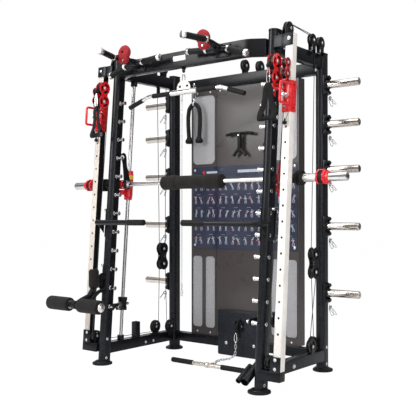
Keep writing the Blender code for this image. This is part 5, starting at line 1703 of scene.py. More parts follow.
# ---------------------------------------------------------------- floating double block
def floating_block(side):
    x, y = FLOAT_X, FLOAT_Y
    low, high = FLOAT_ZS
    plates = [eight_plate(a, b, y, low, high, 0.0455, 0.026)
              for a, b in ((x - 0.019, x - 0.0158), (x + 0.0158, x + 0.019))]
    plates.append(soft_box(x - 0.0165, x + 0.0165, y - 0.009, y + 0.009, 0.7085, 0.7185, 0.0008))
    make("floating_block", "plates", plates, CASTING, side)
    make("floating_block", "wheels", pulley((x, y, low), 0.014, 0.0385, turn=0.2)
         + pulley((x, y, high), 0.014, 0.0385, turn=0.8), NYLON, side)
    bolts = []
    for z in FLOAT_ZS:
        bolts += bolt_pair(button_bolt, x, 0.019, y, z, 0.0088, 0.0055)
    make("floating_block", "bolts", bolts, ZINC, side)


# ---------------------------------------------------------------- dip handle
def clasp(z0, z1, notch=0.018):
    """Sleeve that grips a front upright: round nose, open outer side, flat back."""
    x1, y1, t = UPRIGHT_X + 0.032, 0.0478, 0.0045
    nose = arc_strip(UPRIGHT_X, 0.001, 0.0363, 0.0318, 200, 340, n=12)
    shapes = [soft(prism(nose, "z", z0, z1), 0.0008, 1, 60),
              soft_box(x1, x1 + t, -0.015, -0.0125, z0, z1, 0.0006, 1)]
    for a, b in ((z0, z0 + notch), (z1 - notch, z1)):
        shapes.append(soft_box(x1, x1 + t, -0.0135, y1 + t, a, b, 0.001, 1))
    shapes.append(soft_box(0.636, x1 + t, y1, y1 + t, z0, z1, 0.0015, 2))
    return lean_all(shapes)


def clasp_pin(z):
    profile = [(0, 0.006), (0.006, 0.006), (0.007, 0.0092), (0.012, 0.01), (0.021, 0.0095),
               (0.024, 0.007)]
    return turned(profile, (0.6845, front_y(z), z), X, 24)


def dip_handle(side):
    z = 0.972
    tip = Vector((0.158, -0.487, 0.975))
    arm = clasp(0.873, 1.067)
    arm.append(bent_tube([(0.670, front_y(z) - 0.0305, z), (0.676, -0.4205, z), tip],
                         0.040, 10, 0.0175, 28))
    arm.append(lean(soft_prism([(-0.034, 0.900), (-0.034, 0.955), (-0.090, 0.958),
                                (-0.050, 0.915)], "x", 0.670, 0.676)))
    make("dip_handle", "arm", arm, BLACK, side)
    along = (Vector((0.640, -0.4258, z)) - tip).normalized()
    grip = [(0, 0.015), (0.002, 0.0182), (0.006, 0.0192), (0.16, 0.0192), (0.163, 0.0185)]
    make("dip_handle", "grip", [turned(grip, tip - along * 0.0015, along)], GRIP, side)
    make("dip_handle", "pin", [clasp_pin(1.058)], CHROME, side)


# ================================================================ single pieces
def leg_roller_arm():
    """Arm on the left upright, drawn on the right and flipped."""
    x, y = UPRIGHT_X, -0.458
    arm = clasp(0.486, 0.682)
    arm.append(bent_tube([(x, front_y(0.592) - 0.030, 0.592), (x, y, 0.592), (x, -0.462, 0.529),
                          (x, -0.500, 0.478), (x, -0.570, 0.4555), (x, ROLLER_Y, ROLLER_Z)],
                         0.035, 7, 0.0165, 28))
    arm.append(bent_tube([(0.632, front_y(0.520) - 0.030, 0.520), (0.632, -0.430, 0.500),
                          (0.632, -0.500, 0.452), (0.640, -0.560, 0.450)], 0.03, 7, 0.0125, 24))
    arm.append(turned([(0, 0.0265), (0.002, 0.0285), (0.040, 0.0285), (0.042, 0.0265)],
                      (0.628, ROLLER_Y, ROLLER_Z), X, 36))
    gusset = [(-0.033, 0.500), (-0.033, 0.625), (-0.060, 0.625), (-0.095, 0.600),
              (-0.085, 0.540), (-0.050, 0.505)]
    arm.append(lean(soft_prism(gusset, "x", 0.646, 0.652)))
    for z in (0.527, 0.6515):
        arm.append(turned([(0, 0.0285), (0.003, 0.03), (0.004, 0.03)], (x, y, z), Z))
    make("leg_roller_arm", "frame", arm, BLACK, flip=True)
    outer_cap = [(0, 0.029), (0.0015, 0.0305), (0.0035, 0.0305), (0.006, 0.028), (0.0085, 0.019),
                 (0.011, 0.015), (0.0125, 0.0125), (0.0135, 0.0085), (0.0135, 0.006),
                 (0.0095, 0.0055)]
    inner_cap = [(0, 0.0265), (0.0012, 0.0275), (0.0028, 0.0275), (0.0038, 0.025), (0.005, 0.015)]
    axle = [cylinder((0.388, ROLLER_Y, ROLLER_Z), (0.912, ROLLER_Y, ROLLER_Z), 0.012, 28)]
    for cap_x, axis, profile, n in ((0.401, -X, outer_cap, 40), (0.899, X, outer_cap, 40),
                                    (0.6035, X, inner_cap, 36), (0.6885, -X, inner_cap, 36)):
        axle.append(turned(profile, (cap_x, ROLLER_Y, ROLLER_Z), axis, n))
    make("leg_roller_arm", "axle", axle, CHROME, flip=True)
    make("leg_roller_arm", "pin", [clasp_pin(0.673)], CHROME, flip=True)


LANDMINE_PIVOT = (0.580, -0.262, 0.150)


def landmine_holder():
    """Two open tubes side by side on the right, sloping down to the front."""
    pivot = Vector(LANDMINE_PIVOT)
    tip = Vector((0.580, -0.431, 0.060))
    along = (tip - pivot).normalized()
    back = pivot - along * 0.018
    length = (tip - back).length
    big = turned([(0, 0.0245), (0.0015, 0.0265), (length - 0.0015, 0.0265), (length, 0.0255),
                  (length, 0.024), (length - 0.10, 0.0235)], back, along, 40)
    big = cut(big, [rod((0.50, pivot.y, pivot.z), X, 0.0074, 0.12, 24)])
    start = Vector((0.536, pivot.y, pivot.z)) + along * 0.045
    length = (Vector((0.536, -0.4315, 0.0595)) - start).length
    small = turned([(0, 0.015), (0.0015, 0.0165), (length - 0.0015, 0.0165), (length, 0.0157),
                    (length, 0.0138), (length - 0.05, 0.0132)], start, along, 28)
    bridges = [cylinder((0.544, y, z), (0.560, y, z), 0.0085, 20)
               for y, z in ((-0.400, 0.0760), (-0.340, 0.1076))]
    make("landmine_holder", "tubes", [big, small] + bridges, BLACK)


def smith_bar():
    # (x, radius) of one half, from the step outwards
    half = [(0.835, 0.0145), (0.835, 0.025), (1.116, 0.025), (1.1185, 0.024), (1.12, 0.0215)]
    make("smith_bar", "shaft",
         [turned([(-x, r) for x, r in reversed(half)] + half, on_bar(), X, 44)], TURNED)
    flange = [(0, 0.0145), (0, 0.027), (0.002, 0.029), (0.047, 0.029), (0.049, 0.033),
              (0.05, 0.043), (0.052, 0.045), (0.058, 0.045), (0.06, 0.0435), (0.062, 0.04),
              (0.07, 0.04), (0.072, 0.0435), (0.074, 0.045), (0.083, 0.045), (0.085, 0.043),
              (0.086, 0.033), (0.087, 0.0145)]
    flanges, plugs = [], []
    for way in (1, -1):
        flanges.append(ring(flange, on_bar(way * 0.7482), X * way, 44))
        plugs.append(turned([(0, 0.0085), (0.0008, 0.009)], on_bar(way * 1.1195), X * way, 24))
        plugs.append(turned([(0.0005, 0.0026), (0.002, 0.0026)], on_bar(way * 1.1195),
                            X * way, 6))
    make("smith_bar", "flanges", flanges, BAR_GRIP)
    make("smith_bar", "end_plugs", plugs, DARK_STEEL)


def rear_base_beam():
    beam = [soft_box(-0.613, 0.613, 0.345, 0.405, 0.070, 0.135, 0.0035, 3)]
    rods = []
    for x in (-STACK_X, STACK_X):
        beam.append(soft_box(x - 0.105, x + 0.105, 0.378, 0.422, 0.1345, 0.1362, 0.0004, 1))
        rods += [cylinder((x + dx, STACK_Y, 0.125), (x + dx, STACK_Y, 1.9547), 0.009, 24)
                 for dx in (-STACK_ROD_GAP, STACK_ROD_GAP)]
    make("rear_base_beam", "tube", beam, BLACK)
    make("rear_base_beam", "stack_rods", rods, CHROME_ROD)


def rear_top_beam():
    beam = [soft_box(-0.613, 0.613, 0.345, 0.405, 1.955, 2.035, 0.0035, 3)]
    wheels, bolts = [], []
    y = 0.378
    for x, z in ((0.0172, 2.0911), (0.1461, 2.0650)):
        outline = cheek(y, z, half=0.018, shoulder_y=0.012, shoulder_z=0.014, crown=0.019,
                        bottom=2.030)
        beam += plate_pair(outline, x, 0.0125, 0.0155)
        bolts += bolt_pair(hex_bolt, x, 0.0155, y, z, 0.0072, 0.0048)
        wheels += pulley((x, y, z), 0.0112, 0.044, turn=x * 9)
    make("rear_top_beam", "tube", beam, BLACK)
    make("rear_top_beam", "wheels", wheels, NYLON)
    bolts.append(tube([(-0.402, 0.350, 1.990), (-0.402, 0.306, 1.990)], 0.0048, 16))
    make("rear_top_beam", "bolts", bolts, ZINC_FRAME)


def pull_up_beam():
    """Beam bowed forward at its ends, with a drilled tab below and a blank nameplate."""
    end = UPRIGHT_X - 0.029
    # (x, y) of the right half of each edge
    front = [(end, -0.262), (0.575, -0.291), (0.545, -0.310), (0.515, -0.3195), (0.480, -0.322)]
    back = [(end, -0.196), (0.560, -0.230), (0.530, -0.250), (0.500, -0.2605), (0.470, -0.264)]
    plan = [(-x, y) for x, y in front] + front[::-1] + back + [(-x, y) for x, y in back[::-1]]
    tab = [(-0.295, 1.9665), (-0.271, 1.9665), (-0.271, 1.950), (-0.276, 1.9425),
           (-0.283, 1.940), (-0.290, 1.9425), (-0.295, 1.950)]
    make("pull_up_beam", "tube",
         [soft(prism(plan, "z", 1.972, 2.073), 0.004, 3, 40),
          cut(soft_prism(tab, "x", -0.004, 0.004, 0.0008, 1, 60),
              [rod((-0.015, -0.283, 1.953), X, 0.0078, 0.03, 24)]),
          soft_box(-0.006, 0.006, -0.300, -0.266, 1.964, 1.975, 0.001)], BLACK)
    plate = prism(rounded(-0.004, 2.028, 0.052, 0.0165, 0.003, 4), "y", -0.3232, -0.3215)
    make("pull_up_beam", "nameplate", [soft(plate, 0.0004, 1, 60)], NAMEPLATE)
    rivets = []
    for x in (-0.052, 0.044):
        rivets += button_bolt((x, -0.3232, 2.028), -Y, 0.0018, 0.0012)
    make("pull_up_beam", "rivets", rivets, ZINC_FRAME)


def centre_panel():
    x, t = 0.2312, 0.0022
    make("centre_panel", "sheet",
         [soft_box(-x, x, COVER_Y, COVER_Y + t, 0.1355, 1.9545, 0.0005, 1),
          soft_box(-x, t - x, COVER_Y, 0.392, 0.1358, 1.9542, 0.0005, 1),
          soft_box(x - t, x, COVER_Y, 0.392, 0.1358, 1.9542, 0.0005, 1)], SMOKE)
    peg = [turned([(0, 0.01), (0.0015, 0.011), (0.004, 0.011), (0.0045, 0.006), (0.05, 0.006),
                   (0.0515, 0.0048)], (0, COVER_Y, 1.590), -Y, 28)]
    for bolt_x in (-0.19845, 0.19845):
        for z in (0.158, 1.934):
            peg += button_bolt((bolt_x, COVER_Y, z), -Y, 0.0055, 0.0036)
    make("centre_panel", "peg", peg, ZINC)


# ---------------------------------------------------------------- exercise chart
CHART_FACE = 0.3612
FIGURE_HEIGHT, FIGURE_OFFSET = 0.056, 0.0265
CHART_COLUMNS, CHART_ROWS = 8, 5


def stroke(x0, z0, x1, z1, width, proud=0.0005):
    """Printed bar on the chart."""
    d = Vector((x1 - x0, 0, z1 - z0)).normalized()
    nx, nz = -d.z * width / 2, d.x * width / 2
    ex, ez = d.x * width * 0.3, d.z * width * 0.3
    quad = [(x0 + nx - ex, z0 + nz - ez), (x1 + nx + ex, z1 + nz + ez),
            (x1 - nx + ex, z1 - nz + ez), (x0 - nx - ex, z0 - nz - ez)]
    return prism(quad, "y", CHART_FACE - proud, CHART_FACE + 0.0004)


def spot(x, z, r, n, proud, sunk):
    return prism(circle(x, z, r, n), "y", CHART_FACE - proud, CHART_FACE + sunk)


def figure(cx, cz, h, rng):
    """Stick trainee in a random stance: pale body, perhaps a red dot."""
    shoulder, hip = cz + h * 0.26, cz - h * 0.06
    tilt = rng.uniform(-0.14, 0.14) * h
    if rng.random() < 0.25:
        hip -= h * 0.14
        shoulder -= h * 0.10
        tilt = rng.choice((-1, 1)) * 0.20 * h
    body = [spot(cx + tilt * 1.35, shoulder + h * 0.16, h * 0.075, 12, 0.0005, 0.0004),
            stroke(cx, hip, cx + tilt, shoulder, h * 0.16)]
    for way in (-1, 1):
        a = rng.uniform(-1.2, 1.3)
        elbow_x = cx + tilt + way * h * 0.17 * cos(a)
        elbow_z = shoulder + h * 0.17 * sin(a)
        b = a + rng.uniform(-1.2, 1.2)
        hand_x, hand_z = elbow_x + way * h * 0.15 * cos(b), elbow_z + h * 0.15 * sin(b)
        body.append(stroke(cx + tilt + way * h * 0.07, shoulder, elbow_x, elbow_z, h * 0.065))
        body.append(stroke(elbow_x, elbow_z, hand_x, hand_z, h * 0.055))
        knee_x = cx + way * h * rng.uniform(0.06, 0.17)
        knee_z = (hip + cz - h * 0.48) / 2
        body.append(stroke(cx + way * h * 0.05, hip, knee_x, knee_z, h * 0.085))
        foot_x = cx + way * h * rng.uniform(0.05, 0.13)
        body.append(stroke(knee_x, knee_z, foot_x, cz - h * 0.48, h * 0.065))
    dots = []
    if rng.random() < 0.72:
        x, z = rng.choice(((cx + tilt, shoulder - h * 0.05), (cx, hip),
                           (cx + tilt * 0.5, (shoulder + hip) / 2)))
        dots.append(spot(x, z, h * 0.085, 12, 0.0009, 0.0002))
    return body, dots


def exercise_chart():
    sheet = prism(rounded(0.004, 1.078, 0.455, 0.302, 0.010, 5), "y", CHART_FACE, 0.3638)
    make("exercise_chart", "sheet", [soft(sheet, 0.0004, 1, 60)], CHART)
    studs = []
    for x in (-0.43, 0.438):
        for z in (0.80, 1.357):
            studs += button_bolt((x, CHART_FACE, z), -Y, 0.0075, 0.0032)
    make("exercise_chart", "studs", studs, ZINC)
    pale, dots, dim = [], [], []
    rng = random.Random(29)
    for row in range(CHART_ROWS):
        for column in range(CHART_COLUMNS):
            x = -0.451 + 0.910 * (column + 0.5) / CHART_COLUMNS
            z = 1.232 - 0.0985 * row
            for dx in (-FIGURE_OFFSET, FIGURE_OFFSET):
                body, dot = figure(x + dx, z, FIGURE_HEIGHT, rng)
                pale += body
                dots += dot
            if rng.random() < 0.75:
                # three-sided frame round the pair
                w = rng.choice((0.044, 0.062, 0.080))
                x0, x1, z0, z1 = x - w / 2, x + w / 2 + 0.008, z - 0.028, z + 0.028
                for line in ((x0, z1, x0, z0), (x1, z1, x1, z0), (x0, z1, x1, z1)):
                    dim.append(stroke(*line, 0.0012, 0.0003))
            pale.append(stroke(x - 0.016, z + 0.0415, x + 0.016, z + 0.0415, 0.0016))
    # blank title bars, in place of lettering
    pale.append(stroke(-0.030, 1.338, 0.210, 1.338, 0.020))
    pale.append(stroke(-0.315, 1.338, -0.225, 1.338, 0.015))
    dots.append(spot(-0.345, 1.338, 0.0125, 24, 0.0006, 0.0002))
    make("exercise_chart", "figures", pale, PALE)
    make("exercise_chart", "dots", dots, DOT)
    make("exercise_chart", "frames", dim, DIM)


# ---------------------------------------------------------------- foot plate
TREAD_PITCH = 0.0165
FOOT_BOLT_X, FOOT_BOLT_Z = 0.12, 0.105
FOOT_WHEEL = (0, 0.322, 0.235)


def tread_bump(x, z, way):
    """Lozenge turned 45 degrees, narrowing towards the front."""
    c, s = cos(radians(45) * way), sin(radians(45) * way)
    length, width = 0.0084, 0.0024
    outline = [(x + a * c - b * s, z + a * s + b * c) for a, b in (
        (-length, 0), (-length * 0.5, -width * 0.85), (length * 0.5, -width * 0.85),
        (length, 0), (length * 0.5, width * 0.85), (-length * 0.5, width * 0.85))]
    return loft([(px, 0.3356, pz) for px, pz in outline],
                [(x + (px - x) * 0.72, 0.3334, z + (pz - z) * 0.55) for px, pz in outline])


def foot_plate():
    plate = soft(prism(rounded(0, 0.178, 0.195, 0.162, 0.012, 5), "y", 0.3352, 0.3388),
                 0.001, 2, 60)
    tread = [cut(plate, [prism(obround(0, 0.213, 0.0125, 0.066), "y", 0.32, 0.36)])]
    row = 0
    z = 0.026
    while z < 0.336:
        column = 0
        x = -0.186 + (0.0 if row % 2 else TREAD_PITCH / 2)
        while x < 0.188:
            at_slot = abs(x) < 0.024 and 0.125 < z < 0.300
            at_bolt = any(hypot(x - bolt_x, z - FOOT_BOLT_Z) < 0.018
                          for bolt_x in (-FOOT_BOLT_X, FOOT_BOLT_X))
            if not at_slot and not at_bolt:
                tread.append(tread_bump(x, z, 1 if (column + row) % 2 else -1))
            x += TREAD_PITCH
            column += 1
        z += TREAD_PITCH
        row += 1
    for x in (-0.0245, 0.0245):
        tread.append(soft_box(x - 0.002, x + 0.002, 0.306, 0.336, 0.200, 0.268, 0.0008, 1))
    make("foot_plate", "tread", tread, TREAD)
    # dark sheet of painted shade behind the slot
    make("foot_plate", "slot_back",
         [soft_box(-0.019, 0.019, 0.3395, 0.3405, 0.140, 0.286, 0.0003, 1)], DARK_AND_HOLE_SHADE)
    bolts = []
    for x in (-FOOT_BOLT_X, FOOT_BOLT_X):
        bolts += button_bolt((x, 0.3352, FOOT_BOLT_Z), -Y, 0.0098, 0.0055)
    for way in (1, -1):
        bolts += hex_bolt((way * 0.0265, *FOOT_WHEEL[1:]), X * way, 0.0062, 0.0044)
    make("foot_plate", "bolts", bolts, ZINC)
    make("foot_plate", "wheel", pulley(FOOT_WHEEL, 0.011, 0.030, hub=0.008, groove=0.006), NYLON)


# ---------------------------------------------------------------- lat bar
LAT_Y, LAT_Z = -0.283, 1.816
LAT_BEND_X, LAT_END_X, LAT_END_Z = 0.300, 0.481, 1.757


def lat_bar():
    line = [(-LAT_END_X, LAT_Y, LAT_END_Z), (-LAT_BEND_X, LAT_Y, LAT_Z),
            (LAT_BEND_X, LAT_Y, LAT_Z), (LAT_END_X, LAT_Y, LAT_END_Z)]
    sleeve = [(0, 0.012), (0, 0.016), (0.0015, 0.0172), (0.2145, 0.0172), (0.216, 0.016),
              (0.216, 0.012)]
    make("lat_bar", "tube", [bent_tube(line, 0.060, 10, 0.0128, 28),
                             ring(sleeve, (-0.108, LAT_Y, LAT_Z), X, 36)], TURNED)
    end_grip = [(0, 0.012), (0.002, 0.0146), (0.006, 0.0152), (0.13, 0.015), (0.1315, 0.0138)]
    mid_grip = [(0, 0.014), (0.0015, 0.0158), (0.153, 0.0158), (0.155, 0.014)]
    grips = []
    for way in (-1, 1):
        end = Vector((way * LAT_END_X, LAT_Y, LAT_END_Z))
        along = (Vector((way * LAT_BEND_X, LAT_Y, LAT_Z)) - end).normalized()
        grips.append(turned(end_grip, end - along * 0.0015, along))
        grips.append(turned(mid_grip, (way * 0.112, LAT_Y, LAT_Z), X * way))
    make("lat_bar", "grips", grips, BAR_GRIP)
    # (x, z) of the right half
    half = [(0.055, 1.822), (0.055, 1.850), (0.047, 1.868), (0.030, 1.884), (0.012, 1.8895)]
    outline = [(-0.055, 1.822)] + half + [(-x, z) for x, z in half[:0:-1]]
    holes = []
    for x in (-0.030, 0.030):
        oval = [(x + 0.0125 * cos(2 * pi * i / 24), 1.853 + 0.0085 * sin(2 * pi * i / 24))
                for i in range(24)]
        holes.append(prism(oval, "y", LAT_Y - 0.015, LAT_Y + 0.015))
    holes.append(rod((0, LAT_Y - 0.015, 1.879), Y, 0.0052, 0.03, 20))
    bracket = soft(prism(outline, "y", LAT_Y - 0.0035, LAT_Y + 0.0035), 0.001, 2, 30)
    make("lat_bar", "bracket", [cut(bracket, holes)], CREAM)
    make("lat_bar", "hook", snap_hook((0, LAT_Y, 1.934), (0, LAT_Y, 1.877), 0.0125, 0.0034), CHROME)


# ---------------------------------------------------------------- rope
def tricep_rope():
    x, y = -0.404, 0.318
    # (distance from the middle, z) of one leg, from its end up
    leg = [(0.048, 1.586), (0.056, 1.690), (0.057, 1.755), (0.048, 1.812), (0.024, 1.843)]
    line = [(x - dx, y, z) for dx, z in leg] + [(x, y, 1.850)]
    line += [(x + dx, y, z) for dx, z in reversed(leg)]
    make("tricep_rope", "cord", laid_rope(line, 0.0162, strands=3, pitch=0.042), CORD, smooth=60)
    knob = [(0, 0.016), (0.0015, 0.0215), (0.006, 0.0262), (0.013, 0.0285), (0.022, 0.0285),
            (0.029, 0.0255), (0.034, 0.0205), (0.045, 0.018), (0.047, 0.0165)]
    make("tricep_rope", "knobs",
         [turned(knob, (x + way * 0.048, y, 1.556), Z, 36) for way in (-1, 1)], KNOB)
    hook = snap_hook((x, y, 2.003), (x, y, 1.880), 0.0125, 0.0034)
    hook.append(ring([(0, 0.0135), (0, 0.0165), (0.0015, 0.0175), (0.0125, 0.0175),
                      (0.014, 0.0165), (0.014, 0.0135)], (x - 0.007, y, 1.851), X))
    hook.append(torus((x, y, 1.874), Y, 0.0085, 0.0024, 28, 10))
    make("tricep_rope", "hook", hook, CHROME)


# ---------------------------------------------------------------- row bar, chain and strap
def row_bar():
    """Short bar on the floor, chained to the foot plate."""
    y, z = -0.040, 0.0215
    bar = [cylinder((-0.302, y, z), (0.302, y, z), 0.0138, 32),
           torus((0, y + 0.0165, z), X, 0.006, 0.0026, 24, 10),
           ring([(0, 0.0138), (0, 0.0165), (0.001, 0.0172), (0.023, 0.0172), (0.024, 0.0165),
                 (0.024, 0.0138)], (-0.012, y, z), X)]
    bar += snap_hook((0, y + 0.015, z - 0.001), (0, y + 0.092, z - 0.0015), 0.0125, 0.0036)
    make("row_bar", "tube", bar, HORN)
    grip = [(0, 0.012), (0.002, 0.0158), (0.008, 0.0172), (0.16, 0.017), (0.185, 0.0168),
            (0.187, 0.015)]
    make("row_bar", "grips", [turned(grip, (way * 0.307, y, z), X * -way, 36) for way in (-1, 1)],
         BAR_GRIP)
    line = [(0, y + 0.088, z - 0.001), (-0.024, 0.088, 0.011), (-0.056, 0.135, 0.0105),
            (-0.056, 0.195, 0.011), (-0.030, 0.250, 0.012), (-0.004, 0.282, 0.034),
            (0, 0.286, 0.070), (0, 0.2862, 0.130)]
    make("row_bar", "chain", chain(bent(line, 0.03, 5), pitch=0.0235, width=0.0125, wire=0.0024),
         ZINC)
    make("row_bar", "swivel", snap_hook((0, 0.2865, 0.190), (0, 0.2862, 0.124), 0.0125, 0.003),
         CHROME)
    # strap from the foot plate's slot down to the swivel
    line = [(0.004, 0.333, 0.287), (0.004, 0.312, 0.272), (0.002, 0.2935, 0.245),
            (0, 0.2885, 0.215), (0, 0.2875, 0.190)]
    make("row_bar", "strap", [band(bent(line, 0.02, 5), X, 0.015, 0.003)], WEBBING)


def row_handle():
    """Two-handed handle hung on the centre panel's peg."""
    y = 0.336
    frame = [cut(soft_box(-0.012, 0.012, 0.324, 0.348, 1.478, 1.614, 0.002, 3),
                 [rod((0, 0.310, 1.590), Y, 0.0068, 0.06, 24)]),
             bent_tube([(-0.112, y, 1.598), (-0.060, y, 1.608), (0.060, y, 1.608),
                        (0.112, y, 1.598)], 0.03, 6, 0.0085, 20),
             bent_tube([(-0.052, y, 1.446), (-0.040, y, 1.462), (0, y, 1.500),
                        (0.040, y, 1.462), (0.052, y, 1.446)], 0.02, 5, 0.011, 20),
             soft_prism([(-0.034, 1.468), (0.034, 1.468), (0.012, 1.505), (-0.012, 1.505)],
                        "y", 0.332, 0.340, 0.001, 2)]
    make("row_handle", "frame", frame, CASTING)
    grip = [(0, 0.0085), (0.0015, 0.011), (0.05, 0.0108), (0.0515, 0.0095)]
    make("row_handle", "grips",
         [turned(grip, (way * 0.115, y, 1.5974), (-way * 0.052, 0, 0.010), 28)
          for way in (-1, 1)], GRIP)


# ================================================================ cables
# Radius at which the cable runs round each kind of wheel
TOP_WRAP, TOP_RAIL_WRAP, FLOAT_WRAP, LOW_WRAP = 0.0350, 0.0345, 0.0325, 0.0325
BASE_WRAP, TROLLEY_WRAP, SWIVEL_WRAP = 0.0355, 0.0215, 0.0325


def cable(path):
    return tube(path, CABLE_RADIUS, 10)


def arc(x, y, z, r, start, end, n=10):
    return [Vector((x, y + r * cos(radians(start + (end - start) * i / n)),
                    z + r * sin(radians(start + (end - start) * i / n)))) for i in range(n + 1)]


def stretch_cable(piece, part, start, end, steps, side=""):
    """Straight cable between two bodies."""
    a, b = Vector(start), Vector(end)
    path = [a.lerp(b, i / steps) for i in range(steps + 1)]
    ob = make(piece, part, [cable(path)], CABLE, side, ride=False)
    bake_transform(ob)


def side_cables(side):
    x, z = TOP_RAIL_WHEEL_X, TOP_RAIL_WHEEL_Z
    y_front, y_rear = TOP_RAIL_WHEEL_YS
    (front_x, front_wheel_y), (rear_x, rear_wheel_y) = base_wheels(side)
    make("side_base_rail", "cable_runs", [
        cable(arc(*TOP_WHEEL, TOP_WRAP, 180, 88) + arc(x, y_front, z, TOP_RAIL_WRAP, 88, 0)),
        cable([(0.720, -0.156, 2.165), (0.680, 0.150, 2.162)]),
        cable(arc(x, y_rear, z, TOP_RAIL_WRAP, 172, 0)),
        cable(arc(*LOW_WHEEL, LOW_WRAP, 180, 270)
              + arc(front_x, front_wheel_y, BASE_WHEEL_Z, BASE_WRAP, 270, 360)),
        cable(arc(rear_x, rear_wheel_y, BASE_WHEEL_Z, BASE_WRAP, 180, 350))], CABLE_FRAME, side)

    # up and down from the trolley
    low, high = TROLLEY_WHEEL_ZS
    wheel_x = TROLLEY_WHEEL_X
    low_y, high_y = (front_y(h) + TROLLEY_WHEEL_DEPTH for h in TROLLEY_WHEEL_ZS)
    stretch_cable("trolley", "cable_up", (TOP_WHEEL[0], TOP_WHEEL[1] - TOP_WRAP, TOP_WHEEL[2]),
                  (wheel_x, high_y + TROLLEY_WRAP, high), 24, side)
    leave = (0.740, front_y(1.800) + 0.004, 1.800)
    stretch_cable("trolley", "cable_down", leave,
                  (LOW_WHEEL[0], LOW_WHEEL[1] - LOW_WRAP, LOW_WHEEL[2]), 40, side)
    turn = [(wheel_x, low_y, low - TROLLEY_WRAP),
            (0.772, low_y - TROLLEY_WRAP + 0.045, 1.808), (0.748, front_y(1.800), 1.803), leave]
    make("trolley", "cable_turn", [cable(bent(turn, 0.015, 5))], CABLE_FRAME, side)
    make("trolley", "cable_wraps", [cable(arc(wheel_x, high_y, high, TROLLEY_WRAP, 0, 120)),
                                    cable(arc(wheel_x, low_y, low, TROLLEY_WRAP, 180, 300))],
         CABLE, side)

    # through the swivel block to the handle
    high = SWIVEL_ZS[1]
    y, exit_z = front_y(high) + SWIVEL_DEPTH, high - SWIVEL_WRAP
    make("swivel_block", "cable_wrap", [cable(arc(SWIVEL_X, y, high, SWIVEL_WRAP, 270, 350))],
         CABLE, side)
    stretch_cable("cable_handle", "cable", (SWIVEL_X, y, exit_z), (SWIVEL_X, -0.370, 1.8795), 24,
                  side)

    # four legs of the floating block
    low, high = FLOAT_ZS
    front, rear = FLOAT_Y - FLOAT_WRAP, FLOAT_Y + FLOAT_WRAP
    for part, start_y, end_y in (("cable_a", y_front + TOP_RAIL_WRAP, front),
                                 ("cable_b", y_rear + TOP_RAIL_WRAP, rear)):
        stretch_cable("floating_block", part, (x, start_y, z), (FLOAT_X, end_y, high), 40,
                      side)
    for part, start_y, end in (
            ("cable_c", front, (front_x, front_wheel_y + BASE_WRAP, BASE_WHEEL_Z)),
            ("cable_d", rear, (rear_x, rear_wheel_y - BASE_WRAP, BASE_WHEEL_Z))):
        stretch_cable("floating_block", part, (FLOAT_X, start_y, low), end, 30,
                      side)
    make("floating_block", "cable_wraps",
         [cable(arc(FLOAT_X, FLOAT_Y, high, FLOAT_WRAP, 180, 0, 16)),
          cable(arc(FLOAT_X, FLOAT_Y, low, FLOAT_WRAP, 180, 360, 16))], CABLE, side)

    # ball and two thin wires below the trolley
    z = 1.553
    y = front_y(z) - 0.053
    make("trolley", "ball", [ball((RAIL_X, y, z), 0.0125, 28),
                             turned([(0, 0.005), (0.012, 0.004)], (RAIL_X, y, z + 0.011), Z, 16)],
         HANDLE_RUBBER, side)
    make("trolley", "wires",
         [bent_tube([(RAIL_X + way * 0.017, front_y(1.622) - 0.044, 1.622),
                     (RAIL_X + way * 0.015, front_y(1.600) - 0.046, 1.600),
                     (RAIL_X + way * 0.002, y, z + 0.010)], 0.02, 5, 0.0016, 10)
          for way in (-1, 1)], CABLE, side)


def lanyard():
    """Line with a snap hook at each end, hung on the left of the rear frame."""
    x, y = -0.540, 0.338
    shapes = [tube([(x, y, 1.930), (x, y, 0.470)], 0.0022, 12)]
    shapes += snap_hook((x, y, 0.470), (x, y, 0.408), 0.0095, 0.0026)
    shapes += snap_hook((x, y, 1.962), (x, y, 1.920), 0.0085, 0.0024)
    for z in (0.490, 1.900):
        shapes.append(cylinder((x, y, z - 0.016), (x, y, z + 0.016), 0.0046, 18))
    shapes.append(tube([(x, 0.345, 1.958), (x, 0.334, 1.958)], 0.003, 12))
    make("rear_top_beam", "lanyard", shapes, CHROME)


def centre_cables():
    """Short stubs at rest, that run out when the lat bar or the row bar is pulled."""
    stretch_cable("lat_bar", "cable", (0.0, LAT_Y, 1.956), (0.0, LAT_Y, 1.933), 24)
    stretch_cable("row_bar", "cable", (0.003, 0.336, 0.264), (0.003, 0.308, 0.269), 24)


# ================================================================ build
foams()
for side in "rl":
    for build in (front_upright, rear_upright, side_base_rail, side_top_rail, guide_rod,
                  column_rail, grip_cluster, climbing_hold, weight_cover, weight_stack,
                  bearing_carriage, latch, bar_collar, safety_stop, trolley, pop_pin,
                  swivel_block, cable_handle, floating_block, dip_handle):
        build(side)
for build in (leg_roller_arm, landmine_holder, smith_bar, rear_base_beam, rear_top_beam,
              pull_up_beam, centre_panel, exercise_chart, foot_plate, lat_bar, tricep_rope,
              row_bar, row_handle):
    build()
for side in "rl":
    side_cables(side)
lanyard()
centre_cables()


